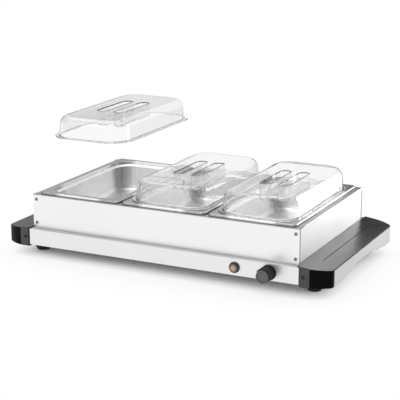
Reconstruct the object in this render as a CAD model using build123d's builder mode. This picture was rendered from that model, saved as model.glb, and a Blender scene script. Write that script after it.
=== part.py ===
from build123d import *
import os

# Three-pan electric food warmer: heated base with end handles, lift-off frame, pans and clear lids.
# Millimetres, +Z up, +X to the right, front at -Y, origin on the counter under the middle of the base.

# Shared small sizes
overrun = 2.0
fit_clearance = 0.2
loose_clearance = 0.4

# Base
base_length = 568.0
base_depth = 364.0
base_height = 33.0
base_wall = 1.5
base_rim = 30.0
base_edge_radius = 1.2
cover_thickness = 1.2
vent_length = 46.0
vent_width = 5.0
vent_pitch_x = 90.0
vent_pitch_y = 24.0
vent_columns = 4
vent_rows = 3

# Feet
foot_height = 22.5
foot_top_diameter = 44.0
foot_bottom_diameter = 24.0
foot_collar = 4.0
foot_offset = 7.5
foot_setback = 61.0
foot_recess_diameter = 11.0
foot_recess_depth = 12.0
foot_screw_diameter = 4.0
foot_screw_head_diameter = 8.0
foot_screw_head_height = 2.5
foot_screw_tail = 3.0

# Handles
handle_width = 57.0
handle_drop = 4.0
handle_lip = 1.0
handle_wall = 3.0
handle_flange = 4.0
handle_reach_under = 18.0
handle_flat = 20.0
handle_end_setback = 20.0
handle_end_bow = 3.0
handle_corner_radius = 4.0
handle_edge_radius = 1.5
grip_end_gap = 86.0
groove_offset = 23.0
groove_end_gap = 58.0
groove_width = 2.0
groove_depth = 1.2
arch_top_gap = 142.0
arch_foot_gap = 62.0
arch_rise = 13.0
arch_knee_radius = 40.0
band_thickness = 1.2
band_end_gap = 6.0
band_top_gap = 0.5
band_corner_radius = 2.5
bracket_thickness = 1.5
bracket_height = 18.0
bracket_tab = 19.0
handle_screw_offset = 8.0
handle_screw_diameter = 3.0
handle_screw_head_diameter = 7.0
handle_screw_head_height = 1.6
handle_screw_tail = 3.0

# Heater inside the base
plate_thickness = 2.0
plate_overlap = 10.0
plate_corner_radius = 12.0
element_diameter = 6.6
element_runs = 8
element_side_gap = 31.5
element_end_gap = 22.0
element_gap = 0.3
retainer_width = 14.0
retainer_thickness = 1.2
retainer_foot = 8.0
retainer_side_gap = 9.0
retainer_pitch_share = 0.32
retainer_count = 3
shield_thickness = 0.8
shield_height = 15.5
shield_front_gap = 26.0
shield_end_gap = 26.0
cutout_diameter = 16.0
cutout_height = 7.0
cutout_flange_length = 24.0
cutout_flange_thickness = 1.0
cutout_x = -70.0

# Controls on the front
control_height = 15.0
knob_end_gap = 58.0
knob_skirt_diameter = 29.0
knob_skirt_thickness = 2.5
knob_body_diameter = 26.0
knob_body_length = 27.5
knob_taper = 1.0
knob_flutes = 18
knob_flute_radius = 1.1
knob_pointer_width = 2.6
knob_pointer_rise = 2.0
knob_pointer_angle = 135.0
knob_dish_diameter = 19.0
knob_dish_depth = 0.6
shaft_diameter = 6.0
shaft_clearance = 0.05
shaft_flat = 1.2
shaft_in_knob = 16.0
shaft_in_thermostat = 12.0
thermostat_width = 30.0
thermostat_height = 23.0
thermostat_depth = 20.0
thermostat_corner_radius = 3.0
thermostat_bracket_width = 46.0
thermostat_bracket_height = 20.0
thermostat_bracket_thickness = 1.2
shaft_hole_diameter = 10.0
lamp_end_gap = 125.5
bezel_diameter = 21.0
bezel_thickness = 3.2
bezel_taper = 12.0
bezel_barrel_diameter = 16.0
bezel_barrel_length = 16.0
bezel_bore_diameter = 12.4
lens_diameter = 14.6
lens_seat_depth = 1.6
lens_rim = 1.6
lens_rise = 2.6
lens_stem_length = 5.0
nut_width = 21.0
nut_thickness = 4.0
lamp_length = 14.0

# Supply at the rear
gland_end_gap = 94.0
gland_thread_diameter = 16.0
gland_thread_length = 10.0
gland_bore_diameter = 7.4
gland_hex_width = 22.0
gland_hex_thickness = 6.0
gland_cap_diameter = 20.0
gland_cap_length = 22.0
gland_cap_radius = 4.0
block_offset = 70.0
block_length = 46.0
block_width = 14.0
block_height = 12.0
block_holes = 4
block_hole_diameter = 4.0
block_rear_gap = 8.0

# Frame that carries the pans
frame_end_ledge = 4.0
frame_front_ledge = 12.0
frame_rear_ledge = 20.0
frame_height = 66.5
frame_sheet = 1.2
frame_flange = 15.0
frame_foot_flange = 10.0
corner_leg = 20.0
corner_thickness = 1.5
corner_end_gap = 5.0
frame_screw_inset = 7.5
frame_screw_edge = 10.0
frame_screw_diameter = 3.0
frame_screw_head_diameter = 6.4
frame_screw_head_height = 1.8
frame_screw_tail = 3.0
bar_width = 20.0
bar_sheet = 1.2
bar_drop = 15.0

# Pans
pan_count = 3
pan_row_margin = 7.75
pan_gap = 6.5
pan_end_margin = 6.0
pan_rim_height = 4.7
pan_rim_width = 11.5
pan_rim_corner = 9.0
pan_rim_edge_radius = 1.5
pan_lip = 1.8
pan_sheet = 1.0
pan_floor_gap = 8.2
pan_draft = 5.0
pan_corner = 40.0
pan_floor_radius = 14.0

# Lids
lid_height = 40.7
lid_wall = 2.0
lid_flange = 8.0
lid_flange_thickness = 1.8
lid_draft = 5.0
lid_top_radius = 16.0
lid_lift = 108.5
lid_shift = 13.0
pocket_width = 20.0
pocket_length_share = 0.4
pocket_pitch = 38.0
pocket_depth = 26.0
pocket_draft = 2.0
pocket_floor_radius = 3.0
nub_width = 3.0
nub_thickness = 1.4
nub_drop = 3.0
nub_spread_x_share = 0.38
nub_spread_y_share = 0.42

# Levels and faces that several pieces share
base_bottom = foot_height + handle_flange
base_top = base_bottom + base_height
base_end = base_length / 2
base_front = base_depth / 2
frame_length = base_length - 2 * frame_end_ledge
frame_depth = base_depth - frame_front_ledge - frame_rear_ledge
frame_y = (frame_front_ledge - frame_rear_ledge) / 2
pan_pitch = (frame_length - 2 * pan_row_margin) / pan_count
pan_width = pan_pitch - pan_gap
pan_length = frame_depth - 2 * pan_end_margin
pan_depth = frame_height + pan_rim_height - pan_floor_gap - pan_sheet
frame_top = base_top + frame_height
pan_top = frame_top + pan_rim_height
control_z = base_bottom + control_height
plate_bottom = base_top - base_wall - plate_thickness
handle_outer = base_end + handle_width
handle_outer_top = base_top - handle_drop
foot_x = base_end + foot_offset
foot_y = base_front - foot_setback
handle_screw_x = base_end + handle_screw_offset
grip_length = base_depth - 2 * grip_end_gap
groove_length = base_depth - 2 * groove_end_gap
arch_top_y = base_front - arch_top_gap
arch_foot_y = base_front - arch_foot_gap
knob_x = base_end - knob_end_gap
lamp_x = base_end - lamp_end_gap
gland_x = gland_end_gap - base_end
block_x = gland_x + block_offset
knob_back = base_front + loose_clearance
opening_width = pan_width - 2 * pan_rim_width
opening_length = pan_length - 2 * pan_rim_width
pocket_length = pocket_length_share * opening_length
window_length = base_length - 2 * base_rim
window_depth = base_depth - 2 * base_rim
shield_length = base_length - 2 * (base_wall + shield_end_gap)
shield_width = base_depth - 2 * (base_wall + shield_front_gap)
sides = {"left": -1, "right": 1}
ends = {"front": -1, "rear": 1}

os.makedirs("parts", exist_ok=True)


def write(builder, label):
    """Label a finished piece and write it to its own file."""
    builder.part.label = label
    export_step(builder.part, f"parts/{label}.step")


# Base housing: an upturned sheet tray with a window for the warming plate
with BuildPart() as base_housing:
    with BuildSketch(Plane.XY.offset(base_bottom)):
        Rectangle(base_length, base_depth)
    extrude(amount=base_height)
    fillet(base_housing.faces().sort_by(Axis.Z)[-1].edges(), base_edge_radius)
    with BuildSketch(Plane.XY.offset(base_bottom)):
        Rectangle(base_length - 2 * base_wall, base_depth - 2 * base_wall)
    extrude(amount=base_height - base_wall, mode=Mode.SUBTRACT)
    with BuildSketch(Plane.XY.offset(base_top)):
        Rectangle(window_length, window_depth)
    extrude(amount=-base_wall - overrun, mode=Mode.SUBTRACT)
    with BuildSketch(Plane.XZ.offset(base_front)):
        with Locations((knob_x, control_z)):
            Circle(shaft_hole_diameter / 2)
        with Locations((lamp_x, control_z)):
            Circle(bezel_barrel_diameter / 2 + fit_clearance)
    extrude(amount=-base_wall - overrun, mode=Mode.SUBTRACT)
    with BuildSketch(Plane.XZ.offset(-base_front)):
        with Locations((gland_x, control_z)):
            Circle(gland_thread_diameter / 2 + fit_clearance)
    extrude(amount=base_wall + overrun, mode=Mode.SUBTRACT)
write(base_housing, "base_housing")

# Bottom cover with rows of vent slots, inside the housing walls
with BuildPart() as bottom_cover:
    with BuildSketch(Plane.XY.offset(base_bottom)):
        cover_inset = 2 * (base_wall + loose_clearance)
        Rectangle(base_length - cover_inset, base_depth - cover_inset)
        with GridLocations(vent_pitch_x, vent_pitch_y, vent_columns, vent_rows):
            SlotOverall(vent_length, vent_width, mode=Mode.SUBTRACT)
    extrude(amount=cover_thickness)
write(bottom_cover, "bottom_cover")

# Warming plate under the rim of the window
plate_length = window_length + 2 * plate_overlap
plate_depth = window_depth + 2 * plate_overlap
with BuildPart() as warming_plate:
    with BuildSketch(Plane.XY.offset(plate_bottom)):
        RectangleRounded(plate_length, plate_depth, plate_corner_radius)
    extrude(amount=plate_thickness)
write(warming_plate, "warming_plate")

# Heating element: one tube that snakes under the plate
element_z = plate_bottom - element_gap - element_diameter / 2
element_pitch = (shield_width - 2 * element_side_gap) / (element_runs - 1)
element_end = shield_length / 2 - element_end_gap - element_pitch / 2
element_first_y = -element_pitch * (element_runs - 1) / 2
with BuildPart() as heating_element:
    with BuildLine(Plane.XY.offset(element_z)) as element_path:
        for run in range(element_runs):
            y = element_first_y + run * element_pitch
            way = 1 if run % 2 == 0 else -1
            Line((-way * element_end, y), (way * element_end, y))
            if run < element_runs - 1:
                turn = (way * (element_end + element_pitch / 2), y + element_pitch / 2)
                ThreePointArc((way * element_end, y), turn, (way * element_end, y + element_pitch))
    with BuildSketch(Plane((-element_end, element_first_y, element_z), z_dir=(1, 0, 0))):
        Circle(element_diameter / 2)
    sweep(path=element_path.line)
write(heating_element, "heating_element")

# Element retainers: strips under the element with feet on the plate
retainer_top = element_z - element_diameter / 2 - element_gap
retainer_half = -element_first_y + element_diameter / 2 + retainer_side_gap
retainer_pitch = retainer_pitch_share * 2 * element_end
with BuildPart() as element_retainers:
    with Locations(*[((i - (retainer_count - 1) / 2) * retainer_pitch, 0, 0) for i in range(retainer_count)]):
        with Locations((0, 0, retainer_top)):
            strip_align = (Align.CENTER, Align.CENTER, Align.MAX)
            Box(retainer_width, 2 * retainer_half, retainer_thickness, align=strip_align)
        for end in ends.values():
            leg_align = (Align.CENTER, Align.MAX if end > 0 else Align.MIN, Align.MAX)
            with Locations((0, end * retainer_half, plate_bottom)):
                leg_height = plate_bottom - retainer_top + retainer_thickness
                Box(retainer_width, retainer_thickness, leg_height, align=leg_align)
            with Locations((0, end * (retainer_half + retainer_foot), plate_bottom)):
                foot_length = retainer_foot + retainer_thickness
                Box(retainer_width, foot_length, retainer_thickness, align=leg_align)
write(element_retainers, "element_retainers")

# Heat shield: a shallow tray hung under the plate
with BuildPart() as heat_shield:
    with BuildSketch(Plane.XY.offset(plate_bottom)):
        Rectangle(shield_length, shield_width)
    extrude(amount=-shield_height)
    with BuildSketch(Plane.XY.offset(plate_bottom)):
        Rectangle(shield_length - 2 * shield_thickness, shield_width - 2 * shield_thickness)
    extrude(amount=-shield_height + shield_thickness, mode=Mode.SUBTRACT)
write(heat_shield, "heat_shield")

# Thermal cut-out on the underside of the plate, between two runs of the element
with BuildPart() as thermal_cutout:
    with BuildSketch(Plane.XY.offset(plate_bottom)):
        with Locations((cutout_x, 0)):
            SlotOverall(cutout_flange_length, cutout_diameter)
    extrude(amount=-cutout_flange_thickness)
    with BuildSketch(Plane.XY.offset(plate_bottom)):
        with Locations((cutout_x, 0)):
            Circle(cutout_diameter / 2)
    extrude(amount=-cutout_height)
write(thermal_cutout, "thermal_cutout")

# Thermostat bracket against the inside of the front wall
front_inside = base_front - base_wall
with BuildPart() as thermostat_bracket:
    with BuildSketch(Plane.XZ.offset(front_inside)):
        with Locations((knob_x, control_z)):
            Rectangle(thermostat_bracket_width, thermostat_bracket_height)
            Circle(shaft_hole_diameter / 2, mode=Mode.SUBTRACT)
    extrude(amount=-thermostat_bracket_thickness)
write(thermostat_bracket, "thermostat_bracket")

# Thermostat body with the bore that the shaft turns in
thermostat_front = front_inside - thermostat_bracket_thickness
with BuildPart() as thermostat:
    with BuildSketch(Plane.XZ.offset(thermostat_front)):
        with Locations((knob_x, control_z)):
            RectangleRounded(thermostat_width, thermostat_height, thermostat_corner_radius)
    extrude(amount=-thermostat_depth)
    with BuildSketch(Plane.XZ.offset(thermostat_front)):
        with Locations((knob_x, control_z)):
            Circle(shaft_diameter / 2 + shaft_clearance)
    extrude(amount=-shaft_in_thermostat - shaft_clearance, mode=Mode.SUBTRACT)
write(thermostat, "thermostat")

# Thermostat shaft, with a flat where the knob grips it
shaft_tip = knob_back + shaft_in_knob
with BuildPart() as thermostat_shaft:
    with BuildSketch(Plane.XZ.offset(thermostat_front - shaft_in_thermostat)):
        with Locations((knob_x, control_z)):
            Circle(shaft_diameter / 2)
    extrude(amount=shaft_tip - thermostat_front + shaft_in_thermostat)
    with BuildSketch(Plane.XZ.offset(shaft_tip)):
        with Locations((knob_x, control_z + shaft_diameter / 2)):
            Rectangle(shaft_diameter, 2 * shaft_flat)
    extrude(amount=-shaft_in_knob, mode=Mode.SUBTRACT)
write(thermostat_shaft, "thermostat_shaft")

# Control knob: skirt, fluted body, pointer rib and a dished face
knob_face = knob_back + knob_skirt_thickness + knob_body_length
with BuildPart() as control_knob:
    with BuildSketch(Plane.XZ.offset(knob_back)):
        with Locations((knob_x, control_z)):
            Circle(knob_skirt_diameter / 2)
    extrude(amount=knob_skirt_thickness)
    with BuildSketch(Plane.XZ.offset(knob_back + knob_skirt_thickness)):
        with Locations((knob_x, control_z)):
            Circle(knob_body_diameter / 2)
    extrude(amount=knob_body_length, taper=knob_taper)
    with BuildSketch(Plane.XZ.offset(knob_back + knob_skirt_thickness)):
        with Locations((knob_x, control_z)):
            with PolarLocations(knob_body_diameter / 2, knob_flutes):
                Circle(knob_flute_radius)
    extrude(amount=knob_body_length + overrun, taper=0, dir=(0, -1, 0), mode=Mode.SUBTRACT)
    with BuildSketch(Plane.XZ.offset(knob_back)):
        with Locations(Location((knob_x, control_z), knob_pointer_angle)):
            with Locations(((knob_body_diameter / 2 + knob_pointer_rise) / 2, 0)):
                Rectangle(knob_body_diameter / 2 + knob_pointer_rise, knob_pointer_width)
    extrude(amount=knob_skirt_thickness + knob_body_length)
    with BuildSketch(Plane.XZ.offset(knob_face)):
        with Locations((knob_x, control_z)):
            Circle(knob_dish_diameter / 2)
    extrude(amount=-knob_dish_depth, mode=Mode.SUBTRACT)
    with BuildSketch(Plane.XZ.offset(knob_back)):
        with Locations((knob_x, control_z)):
            Circle(shaft_diameter / 2 + shaft_clearance)
        with Locations((knob_x, control_z + shaft_diameter / 2 + shaft_clearance)):
            Rectangle(shaft_diameter, 2 * shaft_flat, mode=Mode.SUBTRACT)
    extrude(amount=shaft_in_knob + shaft_clearance, mode=Mode.SUBTRACT)
write(control_knob, "control_knob")

# Indicator bezel: a flange on the front wall and a barrel through it
bezel_front = base_front + bezel_thickness
lens_seat = bezel_front - lens_seat_depth
with BuildPart() as indicator_bezel:
    with BuildSketch(Plane.XZ.offset(base_front)):
        with Locations((lamp_x, control_z)):
            Circle(bezel_diameter / 2)
    extrude(amount=bezel_thickness, taper=bezel_taper)
    with BuildSketch(Plane.XZ.offset(base_front)):
        with Locations((lamp_x, control_z)):
            Circle(bezel_barrel_diameter / 2)
    extrude(amount=-bezel_barrel_length)
    with BuildSketch(Plane.XZ.offset(bezel_front)):
        with Locations((lamp_x, control_z)):
            Circle(bezel_bore_diameter / 2)
    extrude(amount=-bezel_barrel_length - bezel_thickness, mode=Mode.SUBTRACT)
    with BuildSketch(Plane.XZ.offset(bezel_front)):
        with Locations((lamp_x, control_z)):
            Circle(lens_diameter / 2 + fit_clearance)
    extrude(amount=-lens_seat_depth, mode=Mode.SUBTRACT)
write(indicator_bezel, "indicator_bezel")

# Indicator lens: a domed disc in the bezel's seat, on a stem
with BuildPart() as indicator_lens:
    with BuildSketch(Plane.YZ.offset(lamp_x)):
        with BuildLine():
            stem_radius = bezel_bore_diameter / 2 - fit_clearance
            rim_y = -lens_seat - lens_rim
            Polyline(
                (rim_y - lens_rise, control_z),
                (-lens_seat + lens_stem_length, control_z),
                (-lens_seat + lens_stem_length, control_z + stem_radius),
                (-lens_seat, control_z + stem_radius),
                (-lens_seat, control_z + lens_diameter / 2),
                (rim_y, control_z + lens_diameter / 2),
            )
            dome_start = (rim_y - lens_rise, control_z)
            TangentArc(dome_start, (rim_y, control_z + lens_diameter / 2), tangent=(0, 1))
        make_face()
    revolve(axis=Axis((lamp_x, 0, control_z), (0, 1, 0)))
write(indicator_lens, "indicator_lens")

# Indicator lamp, pushed into the rear of the barrel
lamp_rear = base_front - bezel_barrel_length
with BuildPart() as indicator_lamp:
    with BuildSketch(Plane.XZ.offset(lamp_rear)):
        with Locations((lamp_x, control_z)):
            Circle(bezel_bore_diameter / 2 - fit_clearance)
    extrude(amount=lamp_length / 2)
    with BuildSketch(Plane.XZ.offset(lamp_rear)):
        with Locations((lamp_x, control_z)):
            Circle(bezel_barrel_diameter / 2)
    extrude(amount=-lamp_length / 2)
write(indicator_lamp, "indicator_lamp")

# Indicator nut behind the front wall
with BuildPart() as indicator_nut:
    with BuildSketch(Plane.XZ.offset(front_inside)):
        with Locations((lamp_x, control_z)):
            RegularPolygon(nut_width / 2, 6, major_radius=False)
            Circle(bezel_barrel_diameter / 2 + fit_clearance, mode=Mode.SUBTRACT)
    extrude(amount=-nut_thickness)
write(indicator_nut, "indicator_nut")

# Cord gland through the rear wall, with an open bore
with BuildPart() as cord_gland:
    with BuildSketch(Plane.XZ.offset(-base_front)):
        with Locations((gland_x, control_z)):
            RegularPolygon(gland_hex_width / 2, 6, major_radius=False)
    extrude(amount=-gland_hex_thickness)
    with BuildSketch(Plane.XZ.offset(-base_front - gland_hex_thickness)):
        with Locations((gland_x, control_z)):
            Circle(gland_cap_diameter / 2)
    extrude(amount=-gland_cap_length)
    fillet(cord_gland.faces().sort_by(Axis.Y)[-1].edges(), gland_cap_radius)
    with BuildSketch(Plane.XZ.offset(-base_front)):
        with Locations((gland_x, control_z)):
            Circle(gland_thread_diameter / 2)
    extrude(amount=gland_thread_length)
    with BuildSketch(Plane.XZ.offset(-base_front + gland_thread_length)):
        with Locations((gland_x, control_z)):
            Circle(gland_bore_diameter / 2)
    gland_total = gland_thread_length + gland_hex_thickness + gland_cap_length
    extrude(amount=-gland_total, mode=Mode.SUBTRACT)
write(cord_gland, "cord_gland")

# Gland lock nut on the inside of the rear wall
with BuildPart() as gland_nut:
    with BuildSketch(Plane.XZ.offset(-front_inside)):
        with Locations((gland_x, control_z)):
            RegularPolygon(gland_hex_width / 2, 6, major_radius=False)
            Circle(gland_thread_diameter / 2 + fit_clearance, mode=Mode.SUBTRACT)
    extrude(amount=nut_thickness)
write(gland_nut, "gland_nut")

# Terminal block on the bottom cover, near the gland
block_rear = front_inside - block_rear_gap
cover_top = base_bottom + cover_thickness
with BuildPart() as terminal_block:
    with Locations((block_x, block_rear, cover_top)):
        Box(block_length, block_width, block_height, align=(Align.CENTER, Align.MAX, Align.MIN))
    with BuildSketch(Plane.XZ.offset(-block_rear)):
        with Locations((block_x, cover_top + block_height / 2)):
            with GridLocations(block_length / block_holes, 0, block_holes, 1):
                Circle(block_hole_diameter / 2)
    extrude(amount=block_width, mode=Mode.SUBTRACT)
write(terminal_block, "terminal_block")


def handle_outline(side, inset, inner_x):
    """Draw the plan of a handle in the open line: flat tabs, bowed ends and a straight outer side."""
    front_y = base_front - inset
    flat_x = base_end + handle_flat
    outer_x = handle_outer - inset
    corner_y = base_front - handle_end_setback - inset
    bow = -side * handle_end_bow
    Polyline(
        (side * flat_x, front_y),
        (side * inner_x, front_y),
        (side * inner_x, -front_y),
        (side * flat_x, -front_y),
    )
    SagittaArc((side * flat_x, -front_y), (side * outer_x, -corner_y), bow)
    Line((side * outer_x, -corner_y), (side * outer_x, corner_y))
    SagittaArc((side * outer_x, corner_y), (side * flat_x, front_y), bow)


def arch_outline():
    """Draw the hand arch of a handle's outer side as a closed line in Y and Z."""
    FilletPolyline(
        (-arch_foot_y - overrun, foot_height - overrun),
        (-arch_foot_y, foot_height),
        (-arch_top_y, foot_height + arch_rise),
        (arch_top_y, foot_height + arch_rise),
        (arch_foot_y, foot_height),
        (arch_foot_y + overrun, foot_height - overrun),
        radius=[overrun, arch_knee_radius, arch_knee_radius, overrun],
    )
    foot_end = arch_foot_y + overrun
    Line((foot_end, foot_height - overrun), (-foot_end, foot_height - overrun))


def handle_block(side, inset, inner_x, bottom):
    """Make the handle's outer form, or its hollow when inset, as a private part."""
    top_inner = base_top + handle_lip - inset
    top_outer = handle_outer_top - inset
    with BuildPart(mode=Mode.PRIVATE) as block:
        with BuildSketch(Plane.XY.offset(bottom)):
            with BuildLine():
                handle_outline(side, inset, inner_x)
            make_face()
        extrude(amount=base_top - bottom + overrun)
        with BuildSketch(Plane.XZ):
            with BuildLine():
                Polyline(
                    (side * (base_end - handle_width), bottom),
                    (side * handle_outer, bottom),
                    (side * handle_outer, top_outer),
                    (side * base_end, top_inner),
                    (side * (base_end - handle_width), top_inner),
                    close=True,
                )
            make_face()
        extrude(amount=base_depth, both=True, mode=Mode.INTERSECT)
    return block.part


def make_handle(label, side):
    """Make one end handle: a hollow cap with a lip on the base, a hand opening and a flange below."""
    shell = handle_block(side, 0, base_end, foot_height)
    hollow = handle_block(side, handle_wall, base_end - overrun, base_bottom)
    with BuildPart() as handle:
        add(shell)
        upright = handle.edges().filter_by(Axis.Z).group_by(Axis.X)[-1 if side > 0 else 0]
        fillet(upright, handle_corner_radius)
        rim = handle.faces().sort_by(Axis.Z)[-1].edges()
        rim = rim.filter_by(lambda edge: abs(edge.center().X) > base_end + fit_clearance)
        fillet(rim, handle_edge_radius)
        add(hollow, mode=Mode.SUBTRACT)
        lip_width = frame_end_ledge - loose_clearance
        with Locations((side * (base_end - lip_width / 2), 0, base_top)):
            lip_align = (Align.CENTER, Align.CENTER, Align.MIN)
            Box(lip_width, base_depth - 2 * handle_edge_radius, handle_lip, align=lip_align)
        grip_start = base_end + handle_wall
        grip_width = handle_width - 2 * handle_wall
        with Locations((side * (grip_start + grip_width / 2), 0, foot_height)):
            Box(grip_width, grip_length, 2 * handle_flange + overrun, mode=Mode.SUBTRACT)
        with Locations((side * (base_end - handle_reach_under / 2), 0, foot_height)):
            flange_align = (Align.CENTER, Align.CENTER, Align.MIN)
            flange_depth = base_depth - 2 * handle_wall
            Box(handle_reach_under, flange_depth, handle_flange, align=flange_align)
        with Locations((side * (base_end + handle_wall / 2), 0, foot_height)):
            Box(handle_wall, grip_length, handle_flange, align=(Align.CENTER, Align.CENTER, Align.MIN))
        with BuildSketch(Plane.YZ.offset(side * (handle_outer - handle_wall - fit_clearance))):
            with BuildLine():
                arch_outline()
            make_face()
        extrude(amount=side * (handle_wall + overrun), mode=Mode.SUBTRACT)
        fall = (handle_lip + handle_drop) * groove_offset / handle_width
        groove_z = base_top + handle_lip - fall - groove_depth
        with Locations((side * (base_end + groove_offset), 0, groove_z)):
            groove_align = (Align.CENTER, Align.CENTER, Align.MIN)
            Box(groove_width, groove_length, groove_depth + overrun, align=groove_align, mode=Mode.SUBTRACT)
        with BuildSketch(Plane.XZ.offset(base_front)):
            with Locations((side * handle_screw_x, control_z)):
                Circle(handle_screw_diameter / 2 + fit_clearance)
        extrude(amount=-base_depth, mode=Mode.SUBTRACT)
        for end in ends.values():
            with BuildSketch(Plane.XZ.offset(-end * base_front)):
                with Locations((side * handle_screw_x, control_z)):
                    Circle(handle_screw_head_diameter / 2 + fit_clearance)
            extrude(amount=end * handle_screw_head_height, mode=Mode.SUBTRACT)
        with BuildSketch(Plane.XY.offset(foot_height)):
            with Locations((side * foot_x, foot_y), (side * foot_x, -foot_y)):
                Circle(foot_screw_diameter / 2 + fit_clearance)
        extrude(amount=handle_flange, mode=Mode.SUBTRACT)
    write(handle, label)


def make_handle_band(label, side):
    """Make the silver band on a handle's outer side, cut out by the same arch."""
    half_length = base_front - handle_end_setback - band_end_gap
    band_top = handle_outer_top - handle_edge_radius - band_top_gap
    with BuildPart() as band:
        with BuildSketch(Plane.YZ.offset(side * handle_outer)):
            with Locations((0, (foot_height + band_top) / 2)):
                RectangleRounded(2 * half_length, band_top - foot_height, band_corner_radius)
            with BuildLine():
                arch_outline()
            make_face(mode=Mode.SUBTRACT)
        extrude(amount=side * band_thickness)
    write(band, label)


def make_end_bracket(label, side):
    """Make the steel strip on the base's end wall whose two tabs take the handle screws."""
    tab_face = base_front - handle_wall
    with BuildPart() as bracket:
        strip_x = side * (base_end + bracket_thickness / 2)
        with Locations((strip_x, 0, control_z)):
            Box(bracket_thickness, 2 * tab_face, bracket_height)
        for end in ends.values():
            tab_x = side * (base_end + bracket_tab / 2)
            tab_y = end * (tab_face - bracket_thickness / 2)
            with Locations((tab_x, tab_y, control_z)):
                Box(bracket_tab, bracket_thickness, bracket_height)
        with BuildSketch(Plane.XZ.offset(base_front)):
            with Locations((side * handle_screw_x, control_z)):
                Circle(handle_screw_diameter / 2 + fit_clearance)
        extrude(amount=-base_depth, mode=Mode.SUBTRACT)
    write(bracket, label)


for name, side in sides.items():
    make_handle(f"{name}_handle", side)
    make_handle_band(f"{name}_handle_band", side)
    make_end_bracket(f"{name}_end_bracket", side)

# Handle screws: a low head in each tab's recess and a shank through the bracket
handle_screw_length = handle_wall - handle_screw_head_height + bracket_thickness + handle_screw_tail
with BuildPart() as handle_screws:
    for end in ends.values():
        with BuildSketch(Plane.XZ.offset(-end * base_front)):
            with Locations((-handle_screw_x, control_z), (handle_screw_x, control_z)):
                Circle(handle_screw_head_diameter / 2)
        extrude(amount=end * handle_screw_head_height)
        with BuildSketch(Plane.XZ.offset(-end * (base_front - handle_screw_head_height))):
            with Locations((-handle_screw_x, control_z), (handle_screw_x, control_z)):
                Circle(handle_screw_diameter / 2)
        extrude(amount=end * handle_screw_length)
write(handle_screws, "handle_screws")


def make_foot(label, side, end):
    """Make one tapered rubber foot with a recess below for its screw."""
    with BuildPart() as foot:
        with BuildSketch(Plane.XZ.offset(-end * foot_y)):
            with BuildLine():
                Polyline(
                    (side * foot_x, 0),
                    (side * foot_x + foot_bottom_diameter / 2, 0),
                    (side * foot_x + foot_top_diameter / 2, foot_height - foot_collar),
                    (side * foot_x + foot_top_diameter / 2, foot_height),
                    (side * foot_x, foot_height),
                    close=True,
                )
            make_face()
        revolve(axis=Axis((side * foot_x, end * foot_y, 0), (0, 0, 1)))
        with BuildSketch(Plane.XY):
            with Locations((side * foot_x, end * foot_y)):
                Circle(foot_recess_diameter / 2)
        extrude(amount=foot_recess_depth, mode=Mode.SUBTRACT)
        with BuildSketch(Plane.XY):
            with Locations((side * foot_x, end * foot_y)):
                Circle(foot_screw_diameter / 2 + fit_clearance)
        extrude(amount=foot_height, mode=Mode.SUBTRACT)
    write(foot, label)


for end_name, end in ends.items():
    for name, side in sides.items():
        make_foot(f"{end_name}_{name}_foot", side, end)

# Foot screws, up through the feet into the handles
with BuildPart() as foot_screws:
    with BuildSketch(Plane.XY.offset(foot_recess_depth)):
        with GridLocations(2 * foot_x, 2 * foot_y, 2, 2):
            Circle(foot_screw_head_diameter / 2)
    extrude(amount=-foot_screw_head_height)
    with BuildSketch(Plane.XY.offset(foot_recess_depth)):
        with GridLocations(2 * foot_x, 2 * foot_y, 2, 2):
            Circle(foot_screw_diameter / 2)
    extrude(amount=base_bottom - foot_recess_depth + foot_screw_tail)
write(foot_screws, "foot_screws")

# Places of the frame's screws along the front and rear panels
frame_screw_x = frame_length / 2 - frame_screw_inset
frame_screw_low = base_top + frame_screw_edge
frame_screw_high = frame_top - frame_screw_edge
frame_screw_places = [
    (side * frame_screw_x, z) for side in sides.values() for z in (frame_screw_low, frame_screw_high)
]


def make_long_panel(label, end):
    """Make the front or rear frame panel: a wall with a flange at its top and another at its foot."""
    outer = frame_y + end * frame_depth / 2
    inward = Align.MIN if end < 0 else Align.MAX
    with BuildPart() as panel:
        with Locations((0, outer, base_top)):
            Box(frame_length, frame_sheet, frame_height, align=(Align.CENTER, inward, Align.MIN))
            Box(frame_length, frame_foot_flange, frame_sheet, align=(Align.CENTER, inward, Align.MIN))
        with Locations((0, outer, frame_top)):
            Box(frame_length, frame_flange, frame_sheet, align=(Align.CENTER, inward, Align.MAX))
        with BuildSketch(Plane.XZ.offset(-outer)):
            with Locations(*frame_screw_places):
                Circle(frame_screw_diameter / 2 + fit_clearance)
        extrude(amount=end * frame_sheet, mode=Mode.SUBTRACT)
    write(panel, label)


def make_side_panel(label, side):
    """Make a side frame panel, butted between the long panels and their flanges."""
    outer = side * frame_length / 2
    inward = Align.MIN if side < 0 else Align.MAX
    with BuildPart() as panel:
        with Locations((outer, frame_y, base_top)):
            foot_depth = frame_depth - 2 * frame_foot_flange
            Box(frame_foot_flange, foot_depth, frame_sheet, align=(inward, Align.CENTER, Align.MIN))
        with Locations((outer, frame_y, base_top + frame_sheet)):
            wall_depth = frame_depth - 2 * frame_sheet
            wall_height = frame_height - 2 * frame_sheet
            Box(frame_sheet, wall_depth, wall_height, align=(inward, Align.CENTER, Align.MIN))
        with Locations((outer, frame_y, frame_top)):
            flange_depth = frame_depth - 2 * frame_flange
            Box(frame_flange, flange_depth, frame_sheet, align=(inward, Align.CENTER, Align.MAX))
    write(panel, label)


for end_name, end in ends.items():
    make_long_panel(f"frame_{end_name}_panel", end)
for name, side in sides.items():
    make_side_panel(f"frame_{name}_panel", side)

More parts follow.
